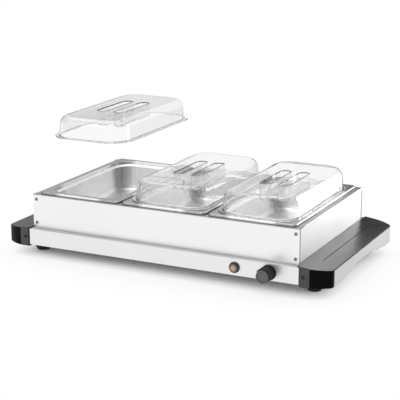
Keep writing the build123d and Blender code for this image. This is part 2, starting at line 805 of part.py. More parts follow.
# Frame corner brackets: four angles inside the corners
corner_bottom = base_top + frame_sheet + corner_end_gap
corner_height = frame_height - 2 * (frame_sheet + corner_end_gap)
with BuildPart() as frame_corner_brackets:
    for side in sides.values():
        for end in ends.values():
            toward_x = Align.MIN if side < 0 else Align.MAX
            toward_y = Align.MIN if end < 0 else Align.MAX
            corner_x = side * (frame_length / 2 - frame_sheet)
            corner_y = frame_y + end * (frame_depth / 2 - frame_sheet)
            with Locations((corner_x, corner_y, corner_bottom)):
                Box(corner_leg, corner_thickness, corner_height, align=(toward_x, toward_y, Align.MIN))
                Box(corner_thickness, corner_leg, corner_height, align=(toward_x, toward_y, Align.MIN))
    with BuildSketch(Plane.XZ.offset(frame_depth / 2 - frame_y)):
        with Locations(*frame_screw_places):
            Circle(frame_screw_diameter / 2 + fit_clearance)
    extrude(amount=-frame_depth, mode=Mode.SUBTRACT)
write(frame_corner_brackets, "frame_corner_brackets")

# Frame screws: round heads on the front and rear panels
with BuildPart() as frame_screws:
    for end in ends.values():
        face_plane = Plane.XZ.offset(-end * frame_depth / 2 - frame_y)
        with BuildSketch(face_plane):
            with Locations(*frame_screw_places):
                Circle(frame_screw_head_diameter / 2)
        extrude(amount=-end * frame_screw_head_height)
        with BuildSketch(face_plane):
            with Locations(*frame_screw_places):
                Circle(frame_screw_diameter / 2)
        extrude(amount=end * (frame_sheet + corner_thickness + frame_screw_tail))
write(frame_screws, "frame_screws")


def make_divider_bar(label, side):
    """Make a channel under the rims of two neighbouring pans, hung below the frame's flanges."""
    bar_top = frame_top - frame_sheet
    bar_length = frame_depth - 2 * (frame_sheet + loose_clearance)
    with BuildPart() as bar:
        with Locations((side * pan_pitch / 2, frame_y, bar_top)):
            Box(bar_width, bar_length, bar_drop, align=(Align.CENTER, Align.CENTER, Align.MAX))
        with Locations((side * pan_pitch / 2, frame_y, bar_top - bar_sheet)):
            hollow_align = (Align.CENTER, Align.CENTER, Align.MAX)
            Box(bar_width - 2 * bar_sheet, bar_length, bar_drop, align=hollow_align, mode=Mode.SUBTRACT)
    write(bar, label)


for name, side in sides.items():
    make_divider_bar(f"{name}_divider_bar", side)


def make_bowl(x, grow, top):
    """Make a drafted tub with a rounded floor, as a private part, grown by a wall all round."""
    with BuildPart(mode=Mode.PRIVATE) as bowl:
        with BuildSketch(Plane.XY.offset(top)):
            with Locations((x, frame_y)):
                RectangleRounded(opening_width + 2 * grow, opening_length + 2 * grow, pan_corner + grow)
        extrude(amount=-pan_depth - grow - (top - pan_top), taper=pan_draft)
        fillet(bowl.faces().sort_by(Axis.Z)[0].edges(), pan_floor_radius + grow)
    return bowl.part


def make_pan(label, x):
    """Make one pan: a drawn tub with a flat rim whose edge turns down onto the frame."""
    with BuildPart() as pan:
        with BuildSketch(Plane.XY.offset(frame_top)):
            with Locations((x, frame_y)):
                RectangleRounded(pan_width, pan_length, pan_rim_corner)
        extrude(amount=pan_rim_height)
        fillet(pan.faces().sort_by(Axis.Z)[-1].edges(), pan_rim_edge_radius)
        with BuildSketch(Plane.XY.offset(frame_top)):
            with Locations((x, frame_y)):
                RectangleRounded(pan_width - 2 * pan_lip, pan_length - 2 * pan_lip, pan_rim_corner - pan_lip)
        extrude(amount=pan_rim_height - pan_sheet, mode=Mode.SUBTRACT)
        add(make_bowl(x, pan_sheet, pan_top))
        add(make_bowl(x, 0, pan_top), mode=Mode.SUBTRACT)
    write(pan, label)


def make_dome(x, z, shrink):
    """Make the lid's dome, or its hollow when shrunk by the wall, as a private part."""
    with BuildPart(mode=Mode.PRIVATE) as dome:
        with BuildSketch(Plane.XY.offset(z)):
            with Locations((x, frame_y)):
                RectangleRounded(opening_width - 2 * shrink, opening_length - 2 * shrink, pan_corner - shrink)
        extrude(amount=lid_height - shrink, taper=lid_draft)
        fillet(dome.faces().sort_by(Axis.Z)[-1].edges(), lid_top_radius - shrink)
    return dome.part


def make_pockets(x, z, grow):
    """Make the two finger pockets of a lid, or their outer walls when grown, as a private part."""
    lid_top = z + lid_height
    with BuildPart(mode=Mode.PRIVATE) as pockets:
        with BuildSketch(Plane.XY.offset(lid_top)):
            with Locations((x - pocket_pitch / 2, frame_y), (x + pocket_pitch / 2, frame_y)):
                SlotOverall(pocket_length + 2 * grow, pocket_width + 2 * grow, rotation=90)
        extrude(amount=-pocket_depth - grow, taper=pocket_draft)
        fillet(pockets.faces().group_by(Axis.Z)[0].edges(), pocket_floor_radius + grow)
    return pockets.part


def make_lid(label, x, z):
    """Make one clear lid: a domed cover with a flat flange, two finger pockets and locating nubs."""
    with BuildPart() as lid:
        with BuildSketch(Plane.XY.offset(z)):
            with Locations((x, frame_y)):
                flange_corner = pan_corner + lid_flange
                RectangleRounded(opening_width + 2 * lid_flange, opening_length + 2 * lid_flange, flange_corner)
        extrude(amount=lid_flange_thickness)
        add(make_dome(x, z, 0))
        add(make_dome(x, z, lid_wall), mode=Mode.SUBTRACT)
        add(make_pockets(x, z, lid_wall))
        add(make_pockets(x, z, 0), mode=Mode.SUBTRACT)
        nub_inset = lid_wall - nub_thickness / 2
        nub_align = (Align.CENTER, Align.CENTER, Align.MAX)
        for side in (-1, 1):
            with Locations((x, frame_y + side * (opening_length / 2 - nub_inset), z)):
                with GridLocations(nub_spread_x_share * opening_width, 0, 2, 1):
                    Box(nub_width, nub_thickness, nub_drop, align=nub_align)
            with Locations((x + side * (opening_width / 2 - nub_inset), frame_y, z)):
                with GridLocations(0, nub_spread_y_share * opening_length, 1, 2):
                    Box(nub_thickness, nub_width, nub_drop, align=nub_align)
    write(lid, label)


# The left lid is held above its pan and a little to the right, the other two are in place
for name, column in (("left", -1), ("middle", 0), ("right", 1)):
    make_pan(f"{name}_pan", column * pan_pitch)
    lid_x = column * pan_pitch + (lid_shift if name == "left" else 0)
    lid_z = pan_top + (lid_lift if name == "left" else 0)
    make_lid(f"{name}_lid", lid_x, lid_z)
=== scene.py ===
"""Food warmer: what shows of it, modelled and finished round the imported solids.

The base with its controls and handles, the lift-off frame, the pans and the clear lids each have a class.
Lengths are metres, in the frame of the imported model: +Z up, +X to the right, front at -Y.
"""

import logging
import math
from collections.abc import Callable, Iterator, Mapping, Sequence
from contextlib import contextmanager
from dataclasses import dataclass
from enum import Enum

import bmesh
import bpy
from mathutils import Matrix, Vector


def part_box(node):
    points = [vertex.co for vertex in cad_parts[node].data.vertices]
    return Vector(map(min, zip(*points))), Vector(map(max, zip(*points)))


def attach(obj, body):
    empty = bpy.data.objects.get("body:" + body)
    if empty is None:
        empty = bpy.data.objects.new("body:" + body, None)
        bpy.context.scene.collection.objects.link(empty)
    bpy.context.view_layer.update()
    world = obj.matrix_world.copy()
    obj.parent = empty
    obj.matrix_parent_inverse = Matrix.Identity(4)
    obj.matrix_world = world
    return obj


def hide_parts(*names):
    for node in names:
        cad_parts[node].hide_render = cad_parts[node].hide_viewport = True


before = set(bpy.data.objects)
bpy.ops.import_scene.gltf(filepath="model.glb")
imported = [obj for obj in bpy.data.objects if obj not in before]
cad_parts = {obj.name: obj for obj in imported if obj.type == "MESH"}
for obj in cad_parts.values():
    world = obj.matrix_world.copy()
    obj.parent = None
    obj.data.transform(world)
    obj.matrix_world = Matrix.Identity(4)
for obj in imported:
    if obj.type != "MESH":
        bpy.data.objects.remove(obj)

LOG = logging.getLogger("food_warmer")
MM = 0.001
OVERRUN = 2 * MM
NEAR = 0.01 * MM
UPRIGHT, LEVEL = 0, 90
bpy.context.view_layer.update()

Piece = bpy.types.Object
Material = bpy.types.Material
Socket = bpy.types.NodeSocket
Colour = tuple[float, float, float]
Step = tuple[float, float]
Test = Callable[..., bool]


class Pick(Enum):
    """What a selection is made of."""

    VERTICES = "VERT"
    EDGES = "EDGE"
    FACES = "FACE"


class Grain(Enum):
    """The axis that a brushed finish runs along, as the stretch of its pattern."""

    ALONG_X = (0.02, 1.0, 1.0)
    ALONG_Y = (1.0, 0.02, 1.0)


class Side(Enum):
    """A position in the row of pans and lids, or an end of the base."""

    LEFT = "left"
    MIDDLE = "middle"
    RIGHT = "right"


def node_box(node: str) -> tuple[Vector, Vector]:
    """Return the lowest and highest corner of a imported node."""
    low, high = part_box(node)
    return Vector(low), Vector(high)


def grey(level: float) -> Colour:
    """Return the grey of one level."""
    return level, level, level


def arc(start: float, end: float, radius: float, count: int) -> list[Step]:
    """Work out the steps of a round bend between two leans.

    Args:
        start: Lean at the start, in degrees from straight up.
        end: Lean at the end, where 90 is level and inward.
        radius: Radius of the bend.
        count: Number of steps.

    Returns:
        The steps, each as a move inward and a move up.
    """
    share = math.radians(end - start) / count
    chord = 2 * radius * math.sin(abs(share) / 2)
    leans = [math.radians(start) + share * (i + 0.5) for i in range(count)]
    return [(chord * math.sin(lean), chord * math.cos(lean)) for lean in leans]


def dome(radius: float, rise: float, end: float, count: int) -> list[Step]:
    """Work out the steps of a shallow dome.

    Args:
        radius: Radius of its foot.
        rise: Its height.
        end: Lean where it stops, just short of level.
        count: Number of steps.

    Returns:
        The steps, each as a move inward and a move up.
    """
    bow = (radius ** 2 + rise ** 2) / (2 * rise)
    start = 90 - math.degrees(math.asin(radius / bow))
    return arc(start, end, bow, count)


def slant(up: float, lean: float) -> Step:
    """Return the step of a straight wall that leans inward by some degrees."""
    return up * math.tan(math.radians(lean)), up


def climb(steps: Sequence[Step]) -> float:
    """Return how far some steps go up."""
    return sum(up for _, up in steps)


def reach(steps: Sequence[Step]) -> float:
    """Return how far some steps go inward."""
    return sum(inward for inward, _ in steps)


def downward(steps: Sequence[Step]) -> list[Step]:
    """Return the same steps turned to go down."""
    return [(inward, -up) for inward, up in steps]


class Bench:
    """The hand tools that shape a piece, one modelling move each."""

    @staticmethod
    def clear() -> None:
        """Go to object mode and deselect everything."""
        if bpy.context.mode != "OBJECT":
            bpy.ops.object.mode_set(mode="OBJECT")
        bpy.ops.object.select_all(action="DESELECT")

    @staticmethod
    def hold(piece: Piece) -> None:
        """Select one piece alone and make it active.

        Args:
            piece: The piece.
        """
        Bench.clear()
        piece.select_set(True)
        bpy.context.view_layer.objects.active = piece

    @staticmethod
    def settle(piece: Piece) -> Piece:
        """Put a piece's place, turn and scale into its mesh.

        Args:
            piece: The piece.

        Returns:
            The same piece.
        """
        Bench.hold(piece)
        bpy.ops.object.transform_apply(location=True, rotation=True, scale=True)
        return piece

    @staticmethod
    @contextmanager
    def editing(piece: Piece) -> Iterator[None]:
        """Keep a piece in edit mode for the length of a block.

        Args:
            piece: The piece.

        Yields:
            Nothing, once the piece is in edit mode.
        """
        Bench.hold(piece)
        bpy.ops.object.mode_set(mode="EDIT")
        yield
        bpy.ops.object.mode_set(mode="OBJECT")

    @staticmethod
    def pick(piece: Piece, kind: Pick, test: Test) -> int:
        """Select the parts of a mesh that pass a test.

        Args:
            piece: The piece in edit mode.
            kind: Whether vertices, edges or faces are tested.
            test: Takes the middle of the part and the part itself.

        Returns:
            How many parts are selected.
        """
        bpy.ops.mesh.select_mode(type=kind.value)
        bpy.ops.mesh.select_all(action="DESELECT")
        mesh = bmesh.from_edit_mesh(piece.data)
        parts = {Pick.VERTICES: mesh.verts, Pick.EDGES: mesh.edges, Pick.FACES: mesh.faces}[kind]
        count = 0
        for part in parts:
            if kind is Pick.VERTICES:
                middle = part.co
            elif kind is Pick.EDGES:
                middle = (part.verts[0].co + part.verts[1].co) / 2
            else:
                middle = part.calc_center_median()
            if test(middle, part):
                part.select_set(True)
                count += 1
        bmesh.update_edit_mesh(piece.data)
        return count

    @staticmethod
    def outward() -> None:
        """Turn all faces of the piece in edit mode outward, and leave them selected."""
        bpy.ops.mesh.select_all(action="SELECT")
        bpy.ops.mesh.normals_make_consistent(inside=False)

    @staticmethod
    def extrude(x: float = 0.0, y: float = 0.0, z: float = 0.0) -> None:
        """Draw the selected parts out by a move."""
        bpy.ops.mesh.extrude_region_move(TRANSFORM_OT_translate={"value": (x, y, z)})

    @staticmethod
    def plate(name: str, centre: Vector, width: float, length: float, radius: float = 0.0,
              segments: int = 12) -> Piece:
        """Make one level face with rounded corners.

        Args:
            name: Name of the piece.
            centre: Middle of the face.
            width: Size along X.
            length: Size along Y.
            radius: Corner radius.
            segments: Steps in each corner.

        Returns:
            The new piece.
        """
        Bench.clear()
        bpy.ops.mesh.primitive_plane_add(size=1.0, location=centre)
        piece = bpy.context.object
        piece.name = name
        piece.scale = (width, length, 1.0)
        Bench.settle(piece)
        if radius > 0:
            with Bench.editing(piece):
                bpy.ops.mesh.select_all(action="SELECT")
                bpy.ops.mesh.bevel(offset=radius, segments=segments, profile=0.5, affect="VERTICES",
                                   clamp_overlap=True)
                bpy.ops.mesh.remove_doubles(threshold=NEAR)
        return piece

    @staticmethod
    def disc(name: str, radius: float, segments: int = 64) -> Piece:
        """Make one level round face at the origin.

        Args:
            name: Name of the piece.
            radius: Its radius.
            segments: Steps round it.

        Returns:
            The new piece.
        """
        Bench.clear()
        bpy.ops.mesh.primitive_circle_add(vertices=segments, radius=radius, fill_type="NGON")
        piece = bpy.context.object
        piece.name = name
        return piece

    @staticmethod
    def slab(name: str, low: Vector, high: Vector) -> Piece:
        """Make a block between two corners.

        Args:
            name: Name of the piece.
            low: Its lowest corner.
            high: Its highest corner.

        Returns:
            The new piece.
        """
        Bench.clear()
        bpy.ops.mesh.primitive_cube_add(size=1.0, location=(low + high) / 2)
        piece = bpy.context.object
        piece.name = name
        piece.scale = high - low
        return Bench.settle(piece)

    @staticmethod
    def rise(piece: Piece, steps: Sequence[Step], capped: bool = False) -> None:
        """Draw the largest face of a piece inward and up by steps.

        Args:
            piece: The piece.
            steps: Moves inward and up.
            capped: Whether the open foot is then closed.
        """
        with Bench.editing(piece):
            most = max(bmesh.from_edit_mesh(piece.data).faces, key=lambda face: face.calc_area()).index
            Bench.pick(piece, Pick.FACES, lambda middle, face: face.index == most)
            for inward, up in steps:
                bpy.ops.mesh.inset(thickness=inward, depth=up, use_even_offset=True)
            if capped:
                Bench.close()

    @staticmethod
    def close() -> None:
        """Fill the open border of the piece in edit mode and turn its faces outward."""
        bpy.ops.mesh.select_mode(type="EDGE")
        bpy.ops.mesh.select_all(action="DESELECT")
        bpy.ops.mesh.select_non_manifold(extend=False, use_wire=False, use_boundary=True,
                                         use_multi_face=False, use_non_contiguous=False, use_verts=False)
        bpy.ops.mesh.edge_face_add()
        Bench.outward()

    @staticmethod
    def modify(piece: Piece, kind: str, **settings: object) -> None:
        """Add a modifier and apply it.

        Args:
            piece: The piece.
            kind: Kind of the modifier.
            **settings: The modifier's settings.
        """
        Bench.hold(piece)
        modifier = piece.modifiers.new(kind.title(), kind)
        for setting, value in settings.items():
            setattr(modifier, setting, value)
        bpy.ops.object.modifier_apply(modifier=modifier.name)

    @staticmethod
    def cut(piece: Piece, tool: Piece, operation: str = "DIFFERENCE") -> None:
        """Cut a piece with a tool, or join them, and throw the tool away."""
        Bench.modify(piece, "BOOLEAN", object=tool, operation=operation, solver="EXACT")
        bpy.data.objects.remove(tool)

    @staticmethod
    def ease(piece: Piece, width: float, segments: int = 3, angle: float = 40.0) -> None:
        """Round the edges of a piece that are sharper than an angle by a small width."""
        Bench.modify(piece, "BEVEL", width=width, segments=segments, limit_method="ANGLE",
                     angle_limit=math.radians(angle), harden_normals=False)

    @staticmethod
    def smooth(piece: Piece, angle: float = 35.0) -> None:
        """Shade a piece smooth except at its sharp edges, with flat faces kept flat.

        Args:
            piece: The piece.
            angle: From how many degrees an edge is sharp.
        """
        Bench.hold(piece)
        bpy.ops.object.shade_smooth_by_angle(angle=math.radians(angle))
        Bench.modify(piece, "WEIGHTED_NORMAL", keep_sharp=True, weight=80)

    @staticmethod
    def face_front(piece: Piece, place: Vector) -> Piece:
        """Turn a piece made along +Z to point to the front.

        Args:
            piece: The piece.
            place: Where it goes then.

        Returns:
            The same piece.
        """
        piece.rotation_euler = (math.radians(90), 0, 0)
        piece.location = place
        return Bench.settle(piece)

    @staticmethod
    def copy(piece: Piece, move: Vector, turn: float) -> Piece:
        """Copy a piece with a mesh of its own.

        Args:
            piece: The piece to copy.
            move: Where the copy goes.
            turn: How far it is turned about Z before that.

        Returns:
            The copy.
        """
        twin = piece.copy()
        twin.data = piece.data.copy()
        bpy.context.scene.collection.objects.link(twin)
        twin.rotation_euler = (0, 0, turn)
        twin.location = move
        return Bench.settle(twin)

    @staticmethod
    def join(pieces: Sequence[Piece], name: str) -> Piece:
        """Join pieces into one.

        Args:
            pieces: The pieces, the first of which takes up the others.
            name: Name of the whole.

        Returns:
            The whole.
        """
        Bench.hold(pieces[0])
        for piece in pieces:
            piece.select_set(True)
        bpy.ops.object.join()
        pieces[0].name = name
        return pieces[0]


@dataclass(frozen=True)
class BowlRow:
    """Where the rounded corners of a row of equal bowls lie, with one bowl at X 0.

    Args:
        pitch: Pitch of the bowls along X.
        middle: Middle of the bowls along Y.
        across: Distances from a bowl's middle along X where its corners start and end.
        along: The same along Y.
    """

    pitch: float
    middle: float
    across: Step
    along: Step


class NodeBench:
    """A node tree in the making, with short calls for the nodes that finishes and light share."""

    def __init__(self, tree: bpy.types.NodeTree) -> None:
        """Take up a node tree."""
        self.nodes, self.links = tree.nodes, tree.links

    def add(self, kind: str, inputs: Mapping[str | int, object], output: str | int = 0,
            **settings: object) -> Socket:
        """Add a node, and set or link its inputs.

        Args:
            kind: Kind of the node.
            inputs: A value or another node's output for each input, by the input's name or number.
            output: Name or number of the output that is wanted.
            **settings: Settings of the node itself.

        Returns:
            The output that is wanted.
        """
        node = self.nodes.new(f"ShaderNode{kind}")
        for setting, value in settings.items():
            setattr(node, setting, value)
        for name, value in inputs.items():
            if isinstance(value, Socket):
                self.links.new(value, node.inputs[name])
            else:
                node.inputs[name].default_value = value
        return node.outputs[output]

    def work(self, operation: str, *values: Socket | float) -> Socket:
        """Return the result of a sum on values, each an output or a number."""
        return self.add("Math", dict(enumerate(values)), operation=operation)

    def spread(self, value: Socket, low: float, high: float, start: float = 0.3,
               end: float = 0.7) -> Socket:
        """Return a value that runs from start to end, spread from low to high."""
        limits = {"From Min": start, "From Max": end, "To Min": low, "To Max": high}
        return self.add("MapRange", {"Value": value, **limits}, "Result")


class Shading(NodeBench):
    """A material in the making, whose patterns read object coordinates."""

    def __init__(self, name: str, **sockets: object) -> None:
        """Start a material.

        Args:
            name: Name of the material.
            **sockets: Values of its shader's sockets, with underscores for the spaces in their names.
        """
        self.material = bpy.data.materials.new(name)
        self.material.use_nodes = True
        super().__init__(self.material.node_tree)
        self.surface = self.nodes["Principled BSDF"]
        self.place = self.add("TexCoord", {}, "Object")
        for socket, value in sockets.items():
            self.surface.inputs[socket.replace("_", " ")].default_value = value

    def link(self, output: Socket, socket: str) -> None:
        """Join a node's output to a socket of the shader."""
        self.links.new(output, self.surface.inputs[socket])

    def show(self, shader: Socket, socket: str = "Surface") -> None:
        """Join a shader of its own to the material's output."""
        self.links.new(shader, self.nodes["Material Output"].inputs[socket])

    def noise(self, scale: float, detail: float = 3.0, roughness: float = 0.55,
              stretch: Sequence[float] = (1.0, 1.0, 1.0)) -> Socket:
        """Return a soft noise.

        Args:
            scale: Its scale per metre.
            detail: How many finer layers it has.
            roughness: How strong those are.
            stretch: A factor on its scale along each axis.

        Returns:
            The noise, from 0 to 1.
        """
        place = self.add("Mapping", {"Vector": self.place, "Scale": stretch}, "Vector")
        levels = {"Scale": scale, "Detail": detail, "Roughness": roughness}
        return self.add("TexNoise", {"Vector": place, **levels}, "Fac")

    def distance(self, centre: Vector) -> Socket:
        """Measure how far a point lies from an axis along Y.

        Args:
            centre: A point of the axis.

        Returns:
            The distance.
        """
        shift = {"Location": (-centre.x, 0.0, -centre.z), "Scale": (1.0, 0.0, 1.0)}
        place = self.add("Mapping", {"Vector": self.place, **shift}, "Vector")
        return self.add("VectorMath", {0: place}, "Value", operation="LENGTH")

    def along(self, axis: str) -> Socket:
        """Return the object coordinate along one axis."""
        return self.add("SeparateXYZ", {"Vector": self.place}, axis)

    def corners(self, row: BowlRow) -> Socket:
        """Measure how deep in the corners of a row of bowls a point lies.

        Args:
            row: The bowls.

        Returns:
            The depth, from 0 to 1.
        """
        x = self.work("ABSOLUTE", self.work("WRAP", self.along("X"), row.pitch / 2, -row.pitch / 2))
        y = self.work("ABSOLUTE", self.work("SUBTRACT", self.along("Y"), row.middle))
        across = self.spread(x, 0.0, 1.0, *row.across)
        return self.work("MULTIPLY", across, self.spread(y, 0.0, 1.0, *row.along))

    def blend(self, factor: Socket, first: Colour | Socket, second: Colour) -> Socket:
        """Return a colour between two colours, the first of which can be a node's output."""
        start = first if isinstance(first, Socket) else (*first, 1.0)
        return self.add("Mix", {0: factor, 6: start, 7: (*second, 1.0)}, 2, data_type="RGBA")

    def bump(self, height: Socket, distance: float) -> None:
        """Raise the surface by a height pattern."""
        self.link(self.add("Bump", {"Strength": 1.0, "Distance": distance, "Height": height}), "Normal")


@dataclass(frozen=True)
class Finish:
    """A surface of two close tones with an uneven gloss."""

    name: str
    tint: Colour
    shade: Colour
    roughness: Step

    def tones(self, shading: Shading, pattern: Socket, span: Step = (0.3, 0.7)) -> Socket:
        """Return a colour between the two tones, by a pattern that runs over a span."""
        return shading.blend(shading.spread(pattern, 0.0, 1.0, *span), self.shade, self.tint)

    def gloss(self, shading: Shading, pattern: Socket) -> None:
        """Make the gloss of a material uneven by a pattern."""
        shading.link(shading.spread(pattern, *self.roughness), "Roughness")


@dataclass(frozen=True)
class BrushedSteel(Finish):
    """Stainless sheet with fine brush lines along one axis."""

    tint: Colour = grey(0.87)
    shade: Colour = grey(0.83)
    roughness: Step = (0.32, 0.42)
    grain: Grain = Grain.ALONG_X
    line_scale: float = 1400.0
    line_depth: float = 0.008 * MM
    cloud_scale: float = 9.0

    def material(self) -> Material:
        """Make the finish.

        Returns:
            The new material.
        """
        shading = Shading(self.name, Metallic=1.0)
        lines = shading.noise(self.line_scale, 4.0, 0.7, self.grain.value)
        shading.link(self.tones(shading, lines), "Base Color")
        self.gloss(shading, shading.noise(self.cloud_scale, 2.0))
        shading.bump(lines, self.line_depth)
        return shading.material


@dataclass(frozen=True)
class DrawnSteel(Finish):
    """Bright satin steel of a pressed pan, with a faint ripple from the press."""

    tint: Colour = grey(0.92)
    shade: Colour = grey(0.89)
    roughness: Step = (0.24, 0.30)
    metallic: float = 0.76
    row: BowlRow | None = None
    # corner: grey of the painted shade in the bowls' corners, in place of dark reflections
    corner: float = 0.42
    corner_shade_span: Step = (0.1, 0.4)
    ripple_scale: float = 700.0
    ripple_depth: float = 0.004 * MM
    cloud_scale: float = 16.0

    def material(self) -> Material:
        """Make the finish, with painted shade in the corners of a row of bowls that stands in for dark
        reflections there.

        Returns:
            The new material.
        """
        shading = Shading(self.name, Metallic=self.metallic)
        clouds = shading.noise(self.cloud_scale, 2.0)
        sheet = self.tones(shading, clouds)
        # Painted shade: the bowls' corners are blended towards a flat grey, in place of dark reflections.
        if self.row:
            depth = shading.spread(shading.corners(self.row), 0.0, 1.0, *self.corner_shade_span)
            sheet = shading.blend(depth, sheet, grey(self.corner))
        shading.link(sheet, "Base Color")
        self.gloss(shading, clouds)
        shading.bump(shading.noise(self.ripple_scale, 3.0, 0.6), self.ripple_depth)
        return shading.material


@dataclass(frozen=True)
class MouldedPlastic(Finish):
    """Moulded plastic or rubber with a fine grain and an uneven gloss."""

    specular: float = 0.5
    grain_scale: float = 1500.0
    grain_depth: float = 0.02 * MM
    cloud_scale: float = 22.0

    def material(self) -> Material:
        """Make the finish.

        Returns:
            The new material.
        """
        shading = Shading(self.name, Specular_IOR_Level=self.specular)
        clouds = shading.noise(self.cloud_scale, 3.0)
        shading.link(self.tones(shading, clouds), "Base Color")
        self.gloss(shading, clouds)
        shading.bump(shading.noise(self.grain_scale, 2.0, 0.6), self.grain_depth)
        return shading.material


@dataclass(frozen=True)
class PlatedSteel(Finish):
    """Zinc-plated or heat-darkened metal with a mottled surface."""

    tint: Colour = (0.62, 0.63, 0.65)
    shade: Colour = (0.48, 0.49, 0.52)
    roughness: Step = (0.35, 0.55)
    spangle_scale: float = 160.0
    cloud_scale: float = 60.0
    grain_scale: float = 900.0
    grain_depth: float = 0.01 * MM

    def material(self) -> Material:
        """Make the finish.

        Returns:
            The new material.
        """
        shading = Shading(self.name, Metallic=1.0)
        spangle = shading.add("TexVoronoi", {"Vector": shading.place, "Scale": self.spangle_scale}, "Color")
        shading.link(self.tones(shading, spangle, (0.0, 1.0)), "Base Color")
        self.gloss(shading, shading.noise(self.cloud_scale))
        shading.bump(shading.noise(self.grain_scale), self.grain_depth)
        return shading.material


@dataclass(frozen=True)
class ClearPlastic:
    """Colourless clear plastic of the lids, very slightly uneven from the mould."""

    name: str
    density: float = 30.0
    tint: Colour = (0.995, 0.997, 1.0)
    depth_tint: float = 0.5
    index: float = 1.45
    roughness: Step = (0.0, 0.03)
    cloud_scale: float = 30.0

    def material(self) -> Material:
        """Make the finish, which gets darker along a long way through it.

        Returns:
            The new material.
        """
        shading = Shading(self.name, Base_Color=(*self.tint, 1.0), IOR=self.index, Transmission_Weight=1.0)
        inside = {"Color": (*grey(self.depth_tint), 1.0), "Density": self.density}
        shading.show(shading.add("VolumeAbsorption", inside), "Volume")
        shading.link(shading.spread(shading.noise(self.cloud_scale, 2.0), *self.roughness), "Roughness")
        return shading.material


@dataclass(frozen=True)
class AmberLens:
    """Brown-amber plastic of the unlit indicator, with a painted highlight round a centre that fades to
    painted shade at a radius from it.
    """

    name: str
    centre: Vector
    radius: float
    painted_highlight_share: float = 0.35
    tint: Colour = (0.52, 0.33, 0.20)
    shade: Colour = (0.025, 0.010, 0.006)
    roughness: Step = (0.12, 0.22)
    cloud_scale: float = 260.0
    grain_scale: float = 420.0
    grain_depth: float = 0.03 * MM

    def material(self) -> Material:
        """Make the finish.

        Returns:
            The new material.
        """
        shading = Shading(self.name, IOR=1.5, Coat_Weight=0.4, Coat_Roughness=0.08)
        # Painted highlight: pale round the centre, darkening outward to painted shade at the rim.
        painted_highlight = self.painted_highlight_share * self.radius
        out = shading.spread(shading.distance(self.centre), 0.0, 1.0, painted_highlight, self.radius)
        shading.link(shading.blend(out, self.tint, self.shade), "Base Color")
        shading.link(shading.spread(shading.noise(self.cloud_scale, 2.0), *self.roughness), "Roughness")
        shading.bump(shading.noise(self.grain_scale), self.grain_depth)
        return shading.material


def dress(piece: Piece, material: Material) -> None:
    """Give a piece one material all over."""
    piece.data.materials.clear()
    piece.data.materials.append(material)


def dress_zone(piece: Piece, material: Material, test: Test) -> None:
    """Give the faces of a new piece that pass a test a material of their own.

    Args:
        piece: The piece, which has its main material.
        material: The material of the zone.
        test: Takes the middle of a face and the face itself.
    """
    piece.data.materials.append(material)
    with Bench.editing(piece):
        count = Bench.pick(piece, Pick.FACES, test)
        piece.active_material_index = len(piece.data.materials) - 1
        bpy.ops.object.material_slot_assign()
    LOG.info("zone %s on %s with %d faces", material.name, piece.name, count)


def place_piece(piece: Piece, material: Material, body: str, slot: str, *nodes: str) -> None:
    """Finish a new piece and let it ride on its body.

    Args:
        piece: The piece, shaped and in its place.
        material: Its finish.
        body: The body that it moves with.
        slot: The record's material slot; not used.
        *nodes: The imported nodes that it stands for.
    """
    dress(piece, material)
    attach(piece, body)
    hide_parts(*nodes)
    LOG.info("piece %s on %s with %d faces", piece.name, body, len(piece.data.polygons))


